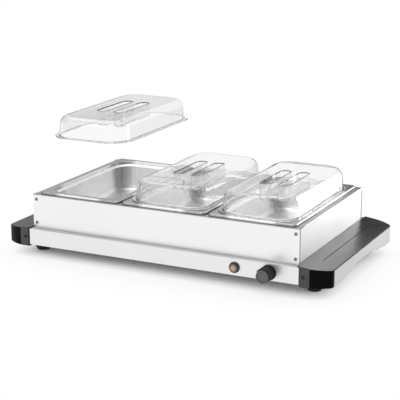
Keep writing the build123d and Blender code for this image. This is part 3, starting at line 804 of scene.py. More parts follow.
@dataclass
class Lid:
    """A clear domed lid with a flat flange, two finger pockets and locating nubs."""

    side: Side
    wall: float = 2.0 * MM
    flange: float = 8.0 * MM
    flange_thickness: float = 1.6 * MM
    seat_gap: float = 0.25 * MM
    corner: float = 40.0 * MM
    draft: float = 5.0
    foot_radius: float = 1.6 * MM
    top_radius: float = 16.0 * MM
    edge_radius: float = 0.6 * MM
    pocket_width: float = 20.0 * MM
    pocket_pitch: float = 38.0 * MM
    pocket_depth: float = 26.0 * MM
    pocket_length_share: float = 0.4
    pocket_draft: float = 2.0
    pocket_radius: float = 3.0 * MM
    nub_width: float = 3.0 * MM
    nub_thickness: float = 1.4 * MM
    nub_drop: float = 3.0 * MM
    nub_root: float = 1.0 * MM
    nub_spread_x_share: float = 0.38
    nub_spread_y_share: float = 0.42

    def __post_init__(self) -> None:
        """Read the lid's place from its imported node."""
        self.node = f"{self.side.value}_lid"
        self.low, self.high = node_box(self.node)
        self.middle = (self.low + self.high) / 2
        self.seat = self.low.z + self.nub_drop + self.seat_gap
        self.height = self.high.z - self.seat
        self.width = self.high.x - self.low.x - 2 * self.flange
        self.length = self.high.y - self.low.y - 2 * self.flange

    def outer_steps(self) -> list[Step]:
        """Work out the lid's outside.

        Returns:
            The steps from the flange's foot to the top.
        """
        edge = arc(UPRIGHT, LEVEL, self.edge_radius, 3)
        foot = arc(LEVEL, self.draft, self.foot_radius, 4)
        top = arc(self.draft, LEVEL, self.top_radius, 12)
        wall = slant(self.height - self.flange_thickness - climb(foot) - climb(top), self.draft)
        ledge = self.flange - reach(edge) - reach(foot)
        return [(0, self.flange_thickness - climb(edge)), *edge, (ledge, 0), *foot, wall, *top]

    def inner_steps(self) -> list[Step]:
        """Return the steps of the hollow, from below the foot to under the top."""
        top = arc(self.draft, LEVEL, self.top_radius - self.wall, 12)
        return [(0, OVERRUN), slant(self.height - self.wall - climb(top), self.draft), *top]

    def pocket(self, x: float, grow: float) -> Piece:
        """Make the tool that cuts a finger pocket.

        Args:
            x: Middle of the pocket.
            grow: How much larger it is all round, for the pocket's outer wall.

        Returns:
            The tool.
        """
        width = self.pocket_width + 2 * grow
        length = self.pocket_length_share * self.length + 2 * grow
        centre = Vector((x, self.middle.y, self.high.z + OVERRUN))
        tool = Bench.plate("pocket_tool", centre, width, length, width / 2, 16)
        floor = arc(self.pocket_draft, LEVEL, self.pocket_radius + grow, 6)
        wall = slant(self.pocket_depth + grow - climb(floor), self.pocket_draft)
        Bench.rise(tool, downward([(0, OVERRUN), wall, *floor]), capped=True)
        return tool

    def build(self) -> Piece:
        """Shape the lid: the outer form, hollowed and pocketed, with its nubs.

        Returns:
            The new piece.
        """
        centre = Vector((self.middle.x, self.middle.y, self.seat))
        lid = Bench.plate(f"{self.node}_shell", centre, self.width + 2 * self.flange,
                          self.length + 2 * self.flange, self.corner + self.flange)
        Bench.rise(lid, self.outer_steps(), capped=True)
        hollow = Bench.plate("hollow_tool", centre - Vector((0, 0, OVERRUN)), self.width - 2 * self.wall,
                             self.length - 2 * self.wall, self.corner - self.wall)
        Bench.rise(hollow, self.inner_steps(), capped=True)
        columns = [self.middle.x + sign * self.pocket_pitch / 2 for sign in (-1, 1)]
        for x in columns:
            Bench.cut(hollow, self.pocket(x, self.wall))
        Bench.cut(lid, hollow)
        for x in columns:
            Bench.cut(lid, self.pocket(x, 0))
        for nub in self.nubs():
            Bench.cut(lid, nub, "UNION")
        Bench.smooth(lid, 32.0)
        return lid

    def nubs(self) -> list[Piece]:
        """Make the small blocks under the rim that locate the lid in its pan.

        Returns:
            The blocks.
        """
        inset = self.wall - self.nub_thickness / 2
        places = []
        for sign in (-1, 1):
            for other in (-0.5, 0.5):
                x = other * self.nub_spread_x_share * self.width
                places.append((x, sign * (self.length / 2 - inset), self.nub_width, self.nub_thickness))
                y = other * self.nub_spread_y_share * self.length
                places.append((sign * (self.width / 2 - inset), y, self.nub_thickness, self.nub_width))
        blocks = []
        for x, y, wide, deep in places:
            x, y = self.middle.x + x, self.middle.y + y
            low = Vector((x - wide / 2, y - deep / 2, self.low.z))
            high = Vector((x + wide / 2, y + deep / 2, self.seat + self.nub_root))
            blocks.append(Bench.slab("nub_tool", low, high))
        return blocks

    def dress(self, material: Material) -> None:
        """Build the lid and finish it, and let light through without a shadow.

        Args:
            material: Clear plastic.
        """
        lid = self.build()
        place_piece(lid, material, self.node, "clear_plastic", self.node)
        lid.visible_shadow = False


@dataclass
class Pan:
    """A drawn steel pan with a flat rim whose edge turns down onto the frame."""

    side: Side
    sheet: float = 0.8 * MM
    rim_flat: float = 7.0 * MM
    rim_corner: float = 9.0 * MM
    lip_gap: float = 1.0 * MM
    hem_inset: float = 2.2 * MM
    edge_radius: float = 3.0 * MM
    mouth_radius: float = 1.8 * MM
    band_height: float = 4.5 * MM
    band_lean: float = 8.0
    shoulder_lean: float = 58.0
    shoulder_width: float = 3.0 * MM
    shoulder_radius: float = 2.0 * MM
    corner: float = 42.0 * MM
    corner_lead: float = 30.0 * MM
    draft: float = 5.0
    floor_radius: float = 14.0 * MM
    floor_sheet: float = 1.0 * MM
    panel_inset: float = 9.0 * MM
    panel_drop: float = 0.6 * MM

    def __post_init__(self) -> None:
        """Read the pan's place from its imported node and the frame's top."""
        self.node = f"{self.side.value}_pan"
        self.low, self.high = node_box(self.node)
        self.middle = (self.low + self.high) / 2
        self.width = self.high.x - self.low.x
        self.length = self.high.y - self.low.y
        self.foot = node_box("frame_front_panel")[1].z

    @staticmethod
    def row() -> BowlRow:
        """Find the corners of the three bowls.

        Returns:
            Where they lie.
        """
        left, pan = Pan(Side.LEFT), Pan(Side.MIDDLE)
        inset = pan.edge_radius + pan.rim_flat + pan.corner
        across, along = pan.width / 2 - inset, pan.length / 2 - inset
        return BowlRow(pan.middle.x - left.middle.x, pan.middle.y, (across, across + pan.corner),
                       (along - pan.corner_lead, along + pan.corner))

    def level(self, name: str, z: float, inset: float, radius: float) -> Piece:
        """Make a level face inside the pan's outline.

        Args:
            name: Name of the face.
            z: Its level.
            inset: How far it is set in from the outline.
            radius: Its corner radius.

        Returns:
            The new face.
        """
        centre = Vector((self.middle.x, self.middle.y, z))
        return Bench.plate(name, centre, self.width - 2 * inset, self.length - 2 * inset, radius)

    def bowl_steps(self) -> list[Step]:
        """Work out the pan's bowl.

        Returns:
            The steps from the rim's mouth down to the floor.
        """
        slope = math.radians(self.shoulder_lean)
        mouth = [
            *arc(LEVEL, self.band_lean, self.mouth_radius, 5),
            slant(self.band_height, self.band_lean),
            *arc(self.band_lean, self.shoulder_lean, self.shoulder_radius, 4),
            (self.shoulder_width * math.sin(slope), self.shoulder_width * math.cos(slope)),
            *arc(self.shoulder_lean, self.draft, self.shoulder_radius, 4),
        ]
        floor = arc(self.draft, LEVEL, self.floor_radius, 10)
        depth = self.high.z - self.low.z - self.floor_sheet - self.panel_drop
        wall = slant(depth - climb(mouth) - climb(floor), self.draft)
        panel = [(self.panel_inset, 0), (2 * self.panel_drop, self.panel_drop)]
        return downward([*mouth, wall, *floor, *panel])

    def build(self) -> Piece:
        """Shape the pan: a turned-down rim bridged to a deep bowl, with a sheet's thickness.

        Returns:
            The new piece.
        """
        lip = self.foot + self.lip_gap
        rim = self.level("rim", lip, 0, self.rim_corner)
        edge = arc(UPRIGHT, LEVEL, self.edge_radius, 8)
        Bench.rise(rim, [(0, self.high.z - lip - climb(edge)), *edge])
        top = self.high.z - NEAR
        with Bench.editing(rim):
            Bench.pick(rim, Pick.FACES, lambda middle, face: middle.z > top)
            bpy.ops.mesh.delete(type="ONLY_FACE")
        mouth = self.level("mouth", self.high.z, reach(edge) + self.rim_flat, self.corner)
        pan = Bench.join([rim, mouth], f"{self.node}_pressing")
        with Bench.editing(pan):
            Bench.pick(pan, Pick.EDGES, lambda middle, edge: edge.is_boundary and middle.z > top)
            bpy.ops.mesh.bridge_edge_loops()
        Bench.rise(pan, self.bowl_steps())
        pan = Bench.join([pan, self.hem()], pan.name)
        Bench.modify(pan, "SOLIDIFY", thickness=self.sheet, offset=-1.0, use_even_offset=True)
        Bench.smooth(pan, 40.0)
        return pan

    def hem(self) -> Piece:
        """Make the strip inside the lip that stands on the frame.

        Returns:
            The strip, still without thickness.
        """
        hem = self.level("hem", self.foot, self.hem_inset, self.rim_corner - self.hem_inset)
        with Bench.editing(hem):
            bpy.ops.mesh.select_all(action="SELECT")
            Bench.extrude(z=2 * self.lip_gap)
            Bench.pick(hem, Pick.FACES, lambda middle, face: abs(face.normal.z) > 0.5)
            bpy.ops.mesh.delete(type="ONLY_FACE")
            Bench.outward()
        return hem

    def dress(self, material: Material, rim: Material, shoulder: Material) -> None:
        """Build the pan and finish it.

        Args:
            material: Bright steel, for the bowl.
            rim: Duller steel for the flat rim, painted darker as shade on it.
            shoulder: Steel for the stacking shoulder, painted lighter as a highlight on it.
        """
        pan = self.build()
        place_piece(pan, material, self.node, "pan_steel", self.node)
        # Painted shade: the flat rim takes a darker copy of the pan's steel.
        dress_zone(pan, rim, lambda middle, face: face.normal.z > 0.9 and middle.z > self.high.z - MM)
        # Painted highlight: the sloping shoulder takes a lighter copy of the pan's steel.
        foot = self.high.z - 3 * self.band_height
        head = self.high.z - self.band_height
        dress_zone(pan, shoulder, lambda middle, face: face.normal.z > 0.3 and foot < middle.z < head)


@dataclass
class BuffetFrame:
    """The lift-off frame: four folded panels that are screwed at the corners."""

    sheet: float = 1.2 * MM
    flange: float = 15.0 * MM
    foot_flange: float = 10.0 * MM
    seam: float = 3.0 * MM
    seam_drop: float = 0.5 * MM
    bend: float = 1.6 * MM
    foot_bend: float = 0.7 * MM
    edge: float = 0.2 * MM

    def panel(self, name: str, wide: float, low: float, high: float, fold_from: float) -> Piece:
        """Make a folded panel that faces the front, with its outer face at Y 0.

        Args:
            name: Name of the piece.
            wide: Length of the wall.
            low: Level of its foot.
            high: Level of its top.
            fold_from: How far the flanges' ends are set in from the wall's ends.

        Returns:
            The panel, at the origin.
        """
        Bench.clear()
        bpy.ops.mesh.primitive_plane_add(size=1.0, rotation=(math.radians(90), 0, 0),
                                         location=(0, 0, (low + high) / 2))
        panel = bpy.context.object
        panel.name = name
        panel.scale = (wide, high - low, 1.0)
        Bench.settle(panel)
        with Bench.editing(panel):
            for level, deep in ((high, self.flange), (low, self.foot_flange)):
                self.pick_fold(panel, level)
                Bench.extrude(y=deep)
            for level, radius in ((high, self.bend), (low, self.foot_bend)):
                self.pick_fold(panel, level)
                bpy.ops.mesh.bevel(offset=radius, segments=5, profile=0.5, affect="EDGES")
            Bench.outward()
        if fold_from > 0:
            self.trim_folds(panel, wide, fold_from)
        Bench.modify(panel, "SOLIDIFY", thickness=self.sheet, offset=-1.0, use_even_offset=True)
        Bench.ease(panel, self.edge, 2)
        Bench.smooth(panel, 40.0)
        return panel

    def pick_fold(self, panel: Piece, level: float) -> None:
        """Select the edge of a panel's wall at a level."""
        Bench.pick(panel, Pick.EDGES,
                   lambda middle, edge: abs(middle.z - level) < NEAR and abs(middle.y) < NEAR)

    def trim_folds(self, panel: Piece, wide: float, fold_from: float) -> None:
        """Draw the ends of the flanges in, so that they meet the neighbours' flanges.

        Args:
            panel: The panel, before it has its thickness.
            wide: Length of its wall.
            fold_from: How far the ends are drawn in.
        """
        with Bench.editing(panel):
            for sign in (-1, 1):
                Bench.pick(panel, Pick.VERTICES, lambda place, vert: sign * place.x > wide / 2 - NEAR
                           and place.y > self.bend - NEAR)
                bpy.ops.transform.translate(value=(-sign * fold_from, 0, 0))

    def dress(self, long_finish: Material, side_finish: Material, flange_finish: Material,
              edge_finish: Material) -> None:
        """Build the four panels and finish them.

        Args:
            long_finish: Steel brushed along X for the front and the rear, painted lighter than the base's
                steel as light on them.
            side_finish: Steel brushed along Y for the sides, rougher and painted darker as shade on them.
            flange_finish: Duller steel painted darker, as shade on the folded flanges and their bends.
            edge_finish: Near-black plastic on the cut ends at the front corner seams, as painted shade in
                the seams.
        """
        turns = {"front": 0.0, "right": 90.0, "rear": 180.0, "left": 270.0}
        front_low, front_high = node_box("frame_front_panel")
        rear_high = node_box("frame_rear_panel")[1]
        middle = (front_low.y + rear_high.y) / 2
        depth = rear_high.y - front_low.y
        for name, turn in turns.items():
            along = name in ("front", "rear")
            wide = front_high.x - front_low.x if along else depth - 2 * (self.sheet + self.seam)
            out = depth / 2 if along else front_high.x - self.seam_drop
            fold_from = 0.0 if along else self.flange - self.sheet - self.seam
            panel = self.panel(f"frame_{name}_sheet", wide, front_low.z, front_high.z, fold_from)
            angle = math.radians(turn)
            panel.rotation_euler = (0, 0, angle)
            panel.location = (out * math.sin(angle), middle - out * math.cos(angle), 0)
            Bench.settle(panel)
            finish = long_finish if along else side_finish
            place_piece(panel, finish, "frame", "brushed_steel", f"frame_{name}_panel")
            # Painted shade: the upward-facing flanges and bends take a dark steel.
            dress_zone(panel, flange_finish, lambda middle, face: face.normal.z > 0.3)
            # Painted shade: the cut ends at the front seams are made near-black.
            ends = Vector((1, 0, 0)) if along else Vector((0, 1, 0))
            dress_zone(panel, edge_finish,
                       lambda middle, face: abs(face.normal.dot(ends)) > 0.5 and middle.y < 0)


@dataclass
class BaseHousing:
    """The base's sheet steel housing: four walls and a ledge round the warming plate."""

    sheet: float = 1.5 * MM
    rim: float = 30.0 * MM
    bend: float = 2.0 * MM
    corner: float = 2.4 * MM

    def build(self) -> Piece:
        """Shape the housing: a folded block, hollowed from below and opened inside its rim.

        Returns:
            The new piece.
        """
        low, high = node_box("base_housing")
        foot = Vector(((low.x + high.x) / 2, (low.y + high.y) / 2, low.z))
        housing = Bench.plate("base_sheet", foot, high.x - low.x, high.y - low.y, self.corner, 5)
        bend = arc(UPRIGHT, LEVEL, self.bend, 5)
        Bench.rise(housing, [(0, high.z - low.z - climb(bend)), *bend], capped=True)
        walls = Vector((self.sheet, self.sheet, 0))
        below = Vector((0, 0, OVERRUN))
        inside = high - walls - Vector((0, 0, self.sheet))
        Bench.cut(housing, Bench.slab("hollow_tool", low + walls - below, inside))
        ledge = Vector((self.rim, self.rim, 0))
        Bench.cut(housing, Bench.slab("window_tool", low + ledge - below, high - ledge + below))
        Bench.smooth(housing, 40.0)
        return housing

    def dress(self, material: Material, ledge: Material) -> None:
        """Build the housing and finish it.

        Args:
            material: Brushed steel.
            ledge: Duller steel for the ledge and the top of its bend, painted darker as shade on them.
        """
        housing = self.build()
        place_piece(housing, material, "base", "brushed_steel", "base_housing")
        # Painted shade: the ledge and the upper part of its bend take a darker steel.
        dress_zone(housing, ledge, lambda middle, face: face.normal.z > 0.35)


@dataclass
class Handle:
    """A black end handle: flat tabs, bowed ends, a sloping top with a groove and a hand arch below."""

    side: Side
    flat: float = 20.0 * MM
    setback: float = 20.0 * MM
    bow: float = 3.0 * MM
    bow_cuts: int = 9
    corner: float = 4.0 * MM
    drop: float = 5.0 * MM
    lip: float = 3.6 * MM
    wall: float = 3.0 * MM
    edge: float = 0.7 * MM
    seam: float = 2.4 * MM
    seam_depth: float = 1.6 * MM
    grip_half: float = 96.0 * MM
    groove_x: float = 23.0 * MM
    groove_width: float = 1.6 * MM
    groove_half: float = 124.0 * MM
    groove_depth: float = 1.2 * MM
    arch_half: float = 120.0 * MM
    arch_top_share: float = 0.3333
    arch_rise: float = 13.0 * MM
    arch_knee: float = 34.0 * MM
    screw_x: float = 8.0 * MM
    screw_radius: float = 3.7 * MM

    def __post_init__(self) -> None:
        """Read the handle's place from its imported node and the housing."""
        self.node = f"{self.side.value}_handle"
        self.sign = -1 if self.side is Side.LEFT else 1
        low, high = node_box(self.node)
        self.bottom, self.top = low.z, high.z
        self.half = high.y
        self.inner, _, self.seat = node_box("base_housing")[1]
        self.outer = high.x if self.sign > 0 else -low.x
        self.screw_z = (node_box("handle_screws")[0].z + node_box("handle_screws")[1].z) / 2
        self.crease = self.inner + self.flat

    def plan(self) -> Piece:
        """Draw the right-hand handle's plan.

        Returns:
            One level face.
        """
        start = self.inner - self.lip
        plan = Bench.plate(f"{self.node}_cap", Vector(((start + self.outer) / 2, 0, self.bottom)),
                           self.outer - start, 2 * self.half)
        with Bench.editing(plan):
            bpy.ops.mesh.select_all(action="SELECT")
            bpy.ops.mesh.bisect(plane_co=(self.crease, 0, 0), plane_no=(1, 0, 0))
            for end in (-1, 1):
                Bench.pick(plan, Pick.VERTICES,
                           lambda place, vert: place.x > self.outer - MM and end * place.y > 0)
                bpy.ops.transform.translate(value=(0, -end * self.setback, 0))
            for end in (-1, 1):
                Bench.pick(plan, Pick.EDGES, lambda middle, edge: end * middle.y > MM
                           and self.crease + MM < middle.x < self.outer - MM)
                bpy.ops.mesh.subdivide(number_cuts=self.bow_cuts)
                self.bow_out(plan, end)
            for end in (-1, 1):
                Bench.pick(plan, Pick.VERTICES, lambda place, vert: place.x > self.outer - NEAR
                           and end * place.y > 0)
                bpy.ops.mesh.bevel(offset=self.corner, segments=6, affect="VERTICES")
        return plan

    def bow_out(self, plan: Piece, end: int) -> None:
        """Push the cut points of one slanted end outward along a shallow bow.

        Args:
            plan: The plan in edit mode.
            end: -1 for the front end, 1 for the rear end.
        """
        run = self.outer - self.inner - self.flat
        slope = math.hypot(run, self.setback)
        for i in range(1, self.bow_cuts + 1):
            share = i / (self.bow_cuts + 1)
            x = self.crease + share * run
            Bench.pick(plan, Pick.VERTICES,
                       lambda place, vert: abs(place.x - x) < 0.2 * MM and end * place.y > 0)
            push = 4 * self.bow * share * (1 - share)
            bpy.ops.transform.translate(value=(push * self.setback / slope, end * push * run / slope, 0))

    def build(self) -> Piece:
        """Shape the handle and turn it to its own end of the base.

        Returns:
            The new piece.
        """
        handle = self.plan()
        with Bench.editing(handle):
            Bench.outward()
            Bench.extrude(z=self.top - self.bottom + MM)
            bpy.ops.mesh.select_all(action="SELECT")
            bpy.ops.mesh.bisect(plane_co=(self.inner - self.lip, 0, self.top),
                                plane_no=(self.drop, 0, self.outer - self.inner),
                                use_fill=True, clear_outer=True)
            Bench.outward()
        Bench.ease(handle, self.edge, 3, 25.0)
        for tool in self.tools():
            Bench.cut(handle, tool)
        Bench.smooth(handle, 30.0)
        if self.sign < 0:
            handle.rotation_euler = (0, 0, math.pi)
            Bench.settle(handle)
        return handle

    def tools(self) -> list[Piece]:
        """Make the blocks that cut the hollow, the groove, the arch, the seat, the seams and the holes.

        Returns:
            The blocks.
        """
        slope = self.drop / (self.outer - self.inner)
        over = Vector((OVERRUN, OVERRUN, OVERRUN))
        low = Vector((self.inner + self.wall, -self.grip_half, self.bottom - OVERRUN))
        high = Vector((self.outer - self.wall, self.grip_half, self.top - self.drop - self.wall))
        hollow = Bench.slab("hollow_tool", low, high)
        middle = self.inner + self.groove_x
        groove_foot = self.top - slope * self.groove_x - self.groove_depth
        half = self.groove_width / 2
        groove = Bench.slab("groove_tool", Vector((middle - half, -self.groove_half, groove_foot)),
                            Vector((middle + half, self.groove_half, self.top + OVERRUN)))
        seat = Bench.slab("seat_tool", Vector((self.inner - self.lip, -self.half, self.bottom)) - over,
                          Vector((self.inner, self.half + OVERRUN, self.seat)))
        tools = [hollow, groove, self.arch(), seat]
        for end in (-1, 1):
            near, far = sorted((end * (self.half - self.seam_depth), end * (self.half + OVERRUN)))
            low = Vector((self.inner - OVERRUN, near, self.bottom - OVERRUN))
            tools.append(Bench.slab("seam_tool", low, Vector((self.inner + self.seam, far, self.seat))))
            hole = Bench.disc("hole_tool", self.screw_radius, 32)
            Bench.rise(hole, [(0, 2 * self.wall)], capped=True)
            place = Vector((self.inner + self.screw_x, end * self.half + self.wall, self.screw_z))
            tools.append(Bench.face_front(hole, place))
        return tools

    def arch(self) -> Piece:
        """Make the block that cuts the hand arch out of the outer side.

        Returns:
            The block.
        """
        foot = Vector((self.outer, 0, self.bottom - OVERRUN))
        arch = Bench.plate("arch_tool", foot, 2 * (self.wall + MM), 2 * self.arch_half)
        with Bench.editing(arch):
            bpy.ops.mesh.select_all(action="SELECT")
            Bench.extrude(z=OVERRUN)
            Bench.extrude(z=self.arch_rise)
            bpy.ops.transform.resize(value=(1, self.arch_top_share, 1), center_override=tuple(foot))
            Bench.outward()
            top = self.bottom + self.arch_rise
            Bench.pick(arch, Pick.EDGES,
                       lambda middle, edge: abs(middle.z - top) < 0.1 * MM and abs(middle.y) > MM)
            bpy.ops.mesh.bevel(offset=self.arch_knee, segments=10, affect="EDGES")
        return arch

    def dress(self, black: Material, top: Material, tab: Material) -> None:
        """Build the handle and finish it.

        Args:
            black: Dull plastic, for the most of it.
            top: Glossier plastic for the sloping top, painted a lighter grey as light on it.
            tab: Matte plastic for the flat tabs at its ends, painted greyer as a reflection of the bright
                front.
        """
        handle = self.build()
        place_piece(handle, black, "base", "handle_plastic", self.node)
        above = self.bottom + 2 * self.drop
        # Glossier plastic with painted light: the sloping top is a lighter grey than the rest.
        dress_zone(handle, top, lambda middle, face: face.normal.z > 0.8 and middle.z > above)
        # Painted reflection: the flat tabs are a greyer copy of the black plastic.
        dress_zone(handle, tab, lambda middle, face: abs(face.normal.y) > 0.95
                   and abs(middle.x) < self.crease + 0.05 * MM and abs(middle.y) > self.half - self.wall)


@dataclass
class Controls:
    """The knob and the indicator on the front of the base."""

    skirt_thickness: float = 2.5 * MM
    skirt_edge: float = 0.8 * MM
    body_radius: float = 13.0 * MM
    body_taper: float = 1.0
    edge_radius: float = 1.0 * MM
    flutes: int = 24
    flute_inset: float = 0.25 * MM
    flute_depth: float = 0.5 * MM
    face_rim: float = 2.0 * MM
    face_slope: float = 0.4 * MM
    face_drop: float = 0.7 * MM
    face_flat: float = 1.5 * MM
    pointer_width: float = 2.4 * MM
    pointer_rise: float = 1.6 * MM
    pointer_edge: float = 0.4 * MM
    pointer_gap: float = 0.2 * MM
    pointer_start_share: float = 0.55
    pointer_angle: float = 135.0
    bezel_edge: float = 1.2 * MM
    bezel_lean: float = 8.0
    bezel_bore_share: float = 0.6
    bezel_bore_slope: float = 0.05 * MM
    lens_radius: float = 8.0 * MM
    lens_rise: float = 2.6 * MM
    lens_root: float = 5.0 * MM
    lens_gap: float = 0.2 * MM
    # Painted highlight on the lens: how far its middle is moved left and down, and its radius.
    lens_highlight_shift: float = 1.0 * MM
    lens_tone_radius: float = 8.6 * MM

    def knob(self) -> Piece:
        """Shape the knob: a skirt, a fluted body, a dished face and a pointer rib.

        Returns:
            The new piece.
        """
        low, high = node_box("control_knob")
        skirt = (high.x - low.x) / 2
        depth = high.y - low.y
        knob = Bench.disc("knob_body", skirt, self.flutes * 4)
        edge = arc(UPRIGHT, LEVEL, self.edge_radius, 4)
        body_up = depth - self.skirt_thickness - climb(edge)
        skirt_edge = arc(UPRIGHT, LEVEL, self.skirt_edge, 3)
        ledge = skirt - self.body_radius - reach(skirt_edge)
        foot = [(0, self.skirt_thickness - climb(skirt_edge)), *skirt_edge, (ledge, 0)]
        dish = [(self.face_rim, 0), (self.face_slope, -self.face_drop), (self.face_flat, 0)]
        Bench.rise(knob, [*foot, slant(body_up, self.body_taper), *edge, *dish], capped=True)
        self.cut_flutes(knob, body_up)
        Bench.cut(knob, self.pointer(depth), "UNION")
        Bench.smooth(knob, 35.0)
        return Bench.face_front(knob, Vector(((low.x + high.x) / 2, high.y, (low.z + high.z) / 2)))

    def cut_flutes(self, knob: Piece, body_up: float) -> None:
        """Press every second strip of the knob's body inward.

        Args:
            knob: The knob, along +Z at the origin.
            body_up: Height of its body.
        """
        step = 2 * math.pi / self.flutes
        level = self.skirt_thickness + body_up / 2
        with Bench.editing(knob):
            Bench.pick(knob, Pick.FACES, lambda middle, face: abs(middle.z - level) < 2 * MM
                       and abs(face.normal.z) < 0.5
                       and (math.atan2(middle.y, middle.x) % step) / step < 0.5)
            bpy.ops.mesh.inset(thickness=self.flute_inset, depth=-self.flute_depth, use_boundary=True)

    def pointer(self, depth: float) -> Piece:
        """Make the rib that points to the setting.

        Args:
            depth: Depth of the knob.

        Returns:
            The rib, for a knob along +Z at the origin.
        """
        half = self.pointer_width / 2
        low = Vector((self.body_radius * self.pointer_start_share, -half, self.skirt_thickness / 2))
        high = Vector((self.body_radius + self.pointer_rise, half, depth - self.pointer_gap))
        rib = Bench.slab("pointer_tool", low, high)
        Bench.ease(rib, self.pointer_edge, 2)
        rib.rotation_euler = (0, 0, math.radians(self.pointer_angle))
        return Bench.settle(rib)

    def bezel(self) -> Piece:
        """Shape the bezel, a turned ring that holds the lens.

        Returns:
            The new piece.
        """
        low, high = node_box("indicator_bezel")
        wall = node_box("base_housing")[0].y
        radius = (high.x - low.x) / 2
        rise = wall - low.y
        ring = Bench.disc("bezel_ring", radius)
        edge = arc(self.bezel_lean, LEVEL, self.bezel_edge, 5)
        side = slant(rise - climb(edge), self.bezel_lean)
        inner = radius - reach(edge) - side[0] - self.lens_radius - self.lens_gap
        bore = (self.bezel_bore_slope, -rise * self.bezel_bore_share)
        Bench.rise(ring, [side, *edge, (inner, 0), bore], capped=True)
        Bench.smooth(ring, 40.0)
        return Bench.face_front(ring, Vector(((low.x + high.x) / 2, wall, (low.z + high.z) / 2)))

    def lens(self) -> Piece:
        """Shape the lens, a low dome with a stepped rim.

        Returns:
            The new piece.
        """
        low, high = node_box("indicator_lens")
        rim = high.y - low.y - self.lens_rise - self.lens_root
        lens = Bench.disc("lens_dome", self.lens_radius)
        Bench.rise(lens, [(0, rim), *dome(self.lens_radius, self.lens_rise, end=88, count=12)], capped=True)
        Bench.smooth(lens, 40.0)
        place = Vector(((low.x + high.x) / 2, low.y + rim + self.lens_rise, (low.z + high.z) / 2))
        return Bench.face_front(lens, place)

    def lens_finish(self) -> AmberLens:
        """Choose the lens's finish, whose painted highlight lies a little to the left and low.

        Returns:
            The finish.
        """
        low, high = node_box("indicator_lens")
        shift = Vector((self.lens_highlight_shift, 0, self.lens_highlight_shift))
        return AmberLens("amber_lens", (low + high) / 2 - shift, self.lens_tone_radius)

    def dress(self, knob_finish: Material, face_finish: Material, bezel_finish: Material) -> None:
        """Build the knob, the bezel and the lens and finish them.

        Args:
            knob_finish: Black plastic, for the knob.
            face_finish: Plastic for the knob's face, painted greyer as light on the face that looks to the
                front.
            bezel_finish: Dark plastic, for the bezel.
        """
        knob = self.knob()
        place_piece(knob, knob_finish, "knob", "black_plastic", "control_knob")
        front = node_box("control_knob")[0].y + 2 * self.edge_radius
        # Painted light: the knob's front face takes a greyer copy of the black plastic.
        dress_zone(knob, face_finish, lambda middle, face: face.normal.y < -0.6 and middle.y < front)
        place_piece(self.bezel(), bezel_finish, "base", "black_plastic", "indicator_bezel")
        place_piece(self.lens(), self.lens_finish().material(), "base", "amber_lens", "indicator_lens")


@dataclass
class FrameScrews:
    """The round-headed cross screws of the frame's corners."""

    radius: float = 3.2 * MM
    rim: float = 0.5 * MM
    cross_width: float = 0.8 * MM
    cross_length: float = 3.4 * MM
    cross_depth: float = 0.9 * MM

    def head(self, rise: float) -> Piece:
        """Make one screw head at the origin, domed along -Y with a cross recess.

        Args:
            rise: Height of the head.

        Returns:
            The head.
        """
        head = Bench.disc("screw_head", self.radius, 32)
        Bench.rise(head, [(0, self.rim), *dome(self.radius, rise - self.rim, end=87, count=6)], capped=True)
        for wide, deep in ((self.cross_length, self.cross_width), (self.cross_width, self.cross_length)):
            low = Vector((-wide / 2, -deep / 2, rise - self.cross_depth))
            high = Vector((wide / 2, deep / 2, rise + OVERRUN))
            Bench.cut(head, Bench.slab("cross_tool", low, high))
        Bench.smooth(head, 35.0)
        return Bench.face_front(head, Vector((0, 0, 0)))

    def dress(self, material: Material) -> None:
        """Build the heads of the frame's eight screws and finish them.

        Args:
            material: Screw steel.
        """
        low, high = node_box("frame_screws")
        front = node_box("frame_front_panel")[0].y
        rear = node_box("frame_rear_panel")[1].y
        head = self.head(front - low.y)
        copies = []
        for y, turn in ((front, 0.0), (rear, math.pi)):
            for x in (low.x + self.radius, high.x - self.radius):
                for z in (low.z + self.radius, high.z - self.radius):
                    copies.append(Bench.copy(head, Vector((x, y, z)), turn))
        bpy.data.objects.remove(head)
        heads = Bench.join(copies, "frame_screw_heads")
        place_piece(heads, material, "frame", "screw_steel", "frame_screws")


def stand_aimed(name: str, data: bpy.types.ID, place: Vector, aim: Vector) -> Piece:
    """Put a camera or a lamp in the scene and turn it to a point.

    Args:
        name: Name of the object.
        data: The camera or the lamp.
        place: Where it stands.
        aim: The point that it faces.

    Returns:
        The new object.
    """
    item = bpy.data.objects.new(name, data)
    bpy.context.scene.collection.objects.link(item)
    item.location = place
    item.rotation_mode = "QUATERNION"
    item.rotation_quaternion = (aim - place).to_track_quat("-Z", "Y")
    return item


@dataclass(frozen=True)
class Softbox:
    """A soft lamp that the camera itself doesn't see.

    Args:
        name: Name of the lamp.
        place: Where it hangs.
        aim: The point that it faces.
        size: Its width and height.
        power: Its power in watts.
        mirrored: Whether it shows in shiny surfaces.
    """

    name: str
    place: Vector
    aim: Vector
    size: Step
    power: float
    mirrored: bool = True

    def hang(self) -> None:
        """Hang the lamp at its place."""
        data = bpy.data.lights.new(self.name, "AREA")
        data.shape = "RECTANGLE"
        data.size, data.size_y = self.size
        data.energy = self.power
        lamp = stand_aimed(self.name, data, self.place, self.aim)
        lamp.visible_camera = False
        lamp.visible_glossy = self.mirrored


@dataclass(frozen=True)
class GreyCard:
    """An upright card that only shows in shiny surfaces, and grades them.

    Args:
        name: Name of the card.
        low: Its lowest corner.
        high: Its highest corner.
        levels: How bright its foot and its top are.
    """

    name: str
    low: Vector
    high: Vector
    levels: Step

    def stand(self) -> None:
        """Stand the card up at its place."""
        card = Bench.slab(self.name, self.low, self.high)
        shading = Shading(self.name)
        tone = shading.spread(shading.along("Z"), *self.levels, self.low.z, self.high.z)
        shading.show(shading.add("Emission", {"Strength": tone}))
        dress(card, shading.material)
        for ray in ("camera", "diffuse", "transmission", "shadow"):
            setattr(card, f"visible_{ray}", False)


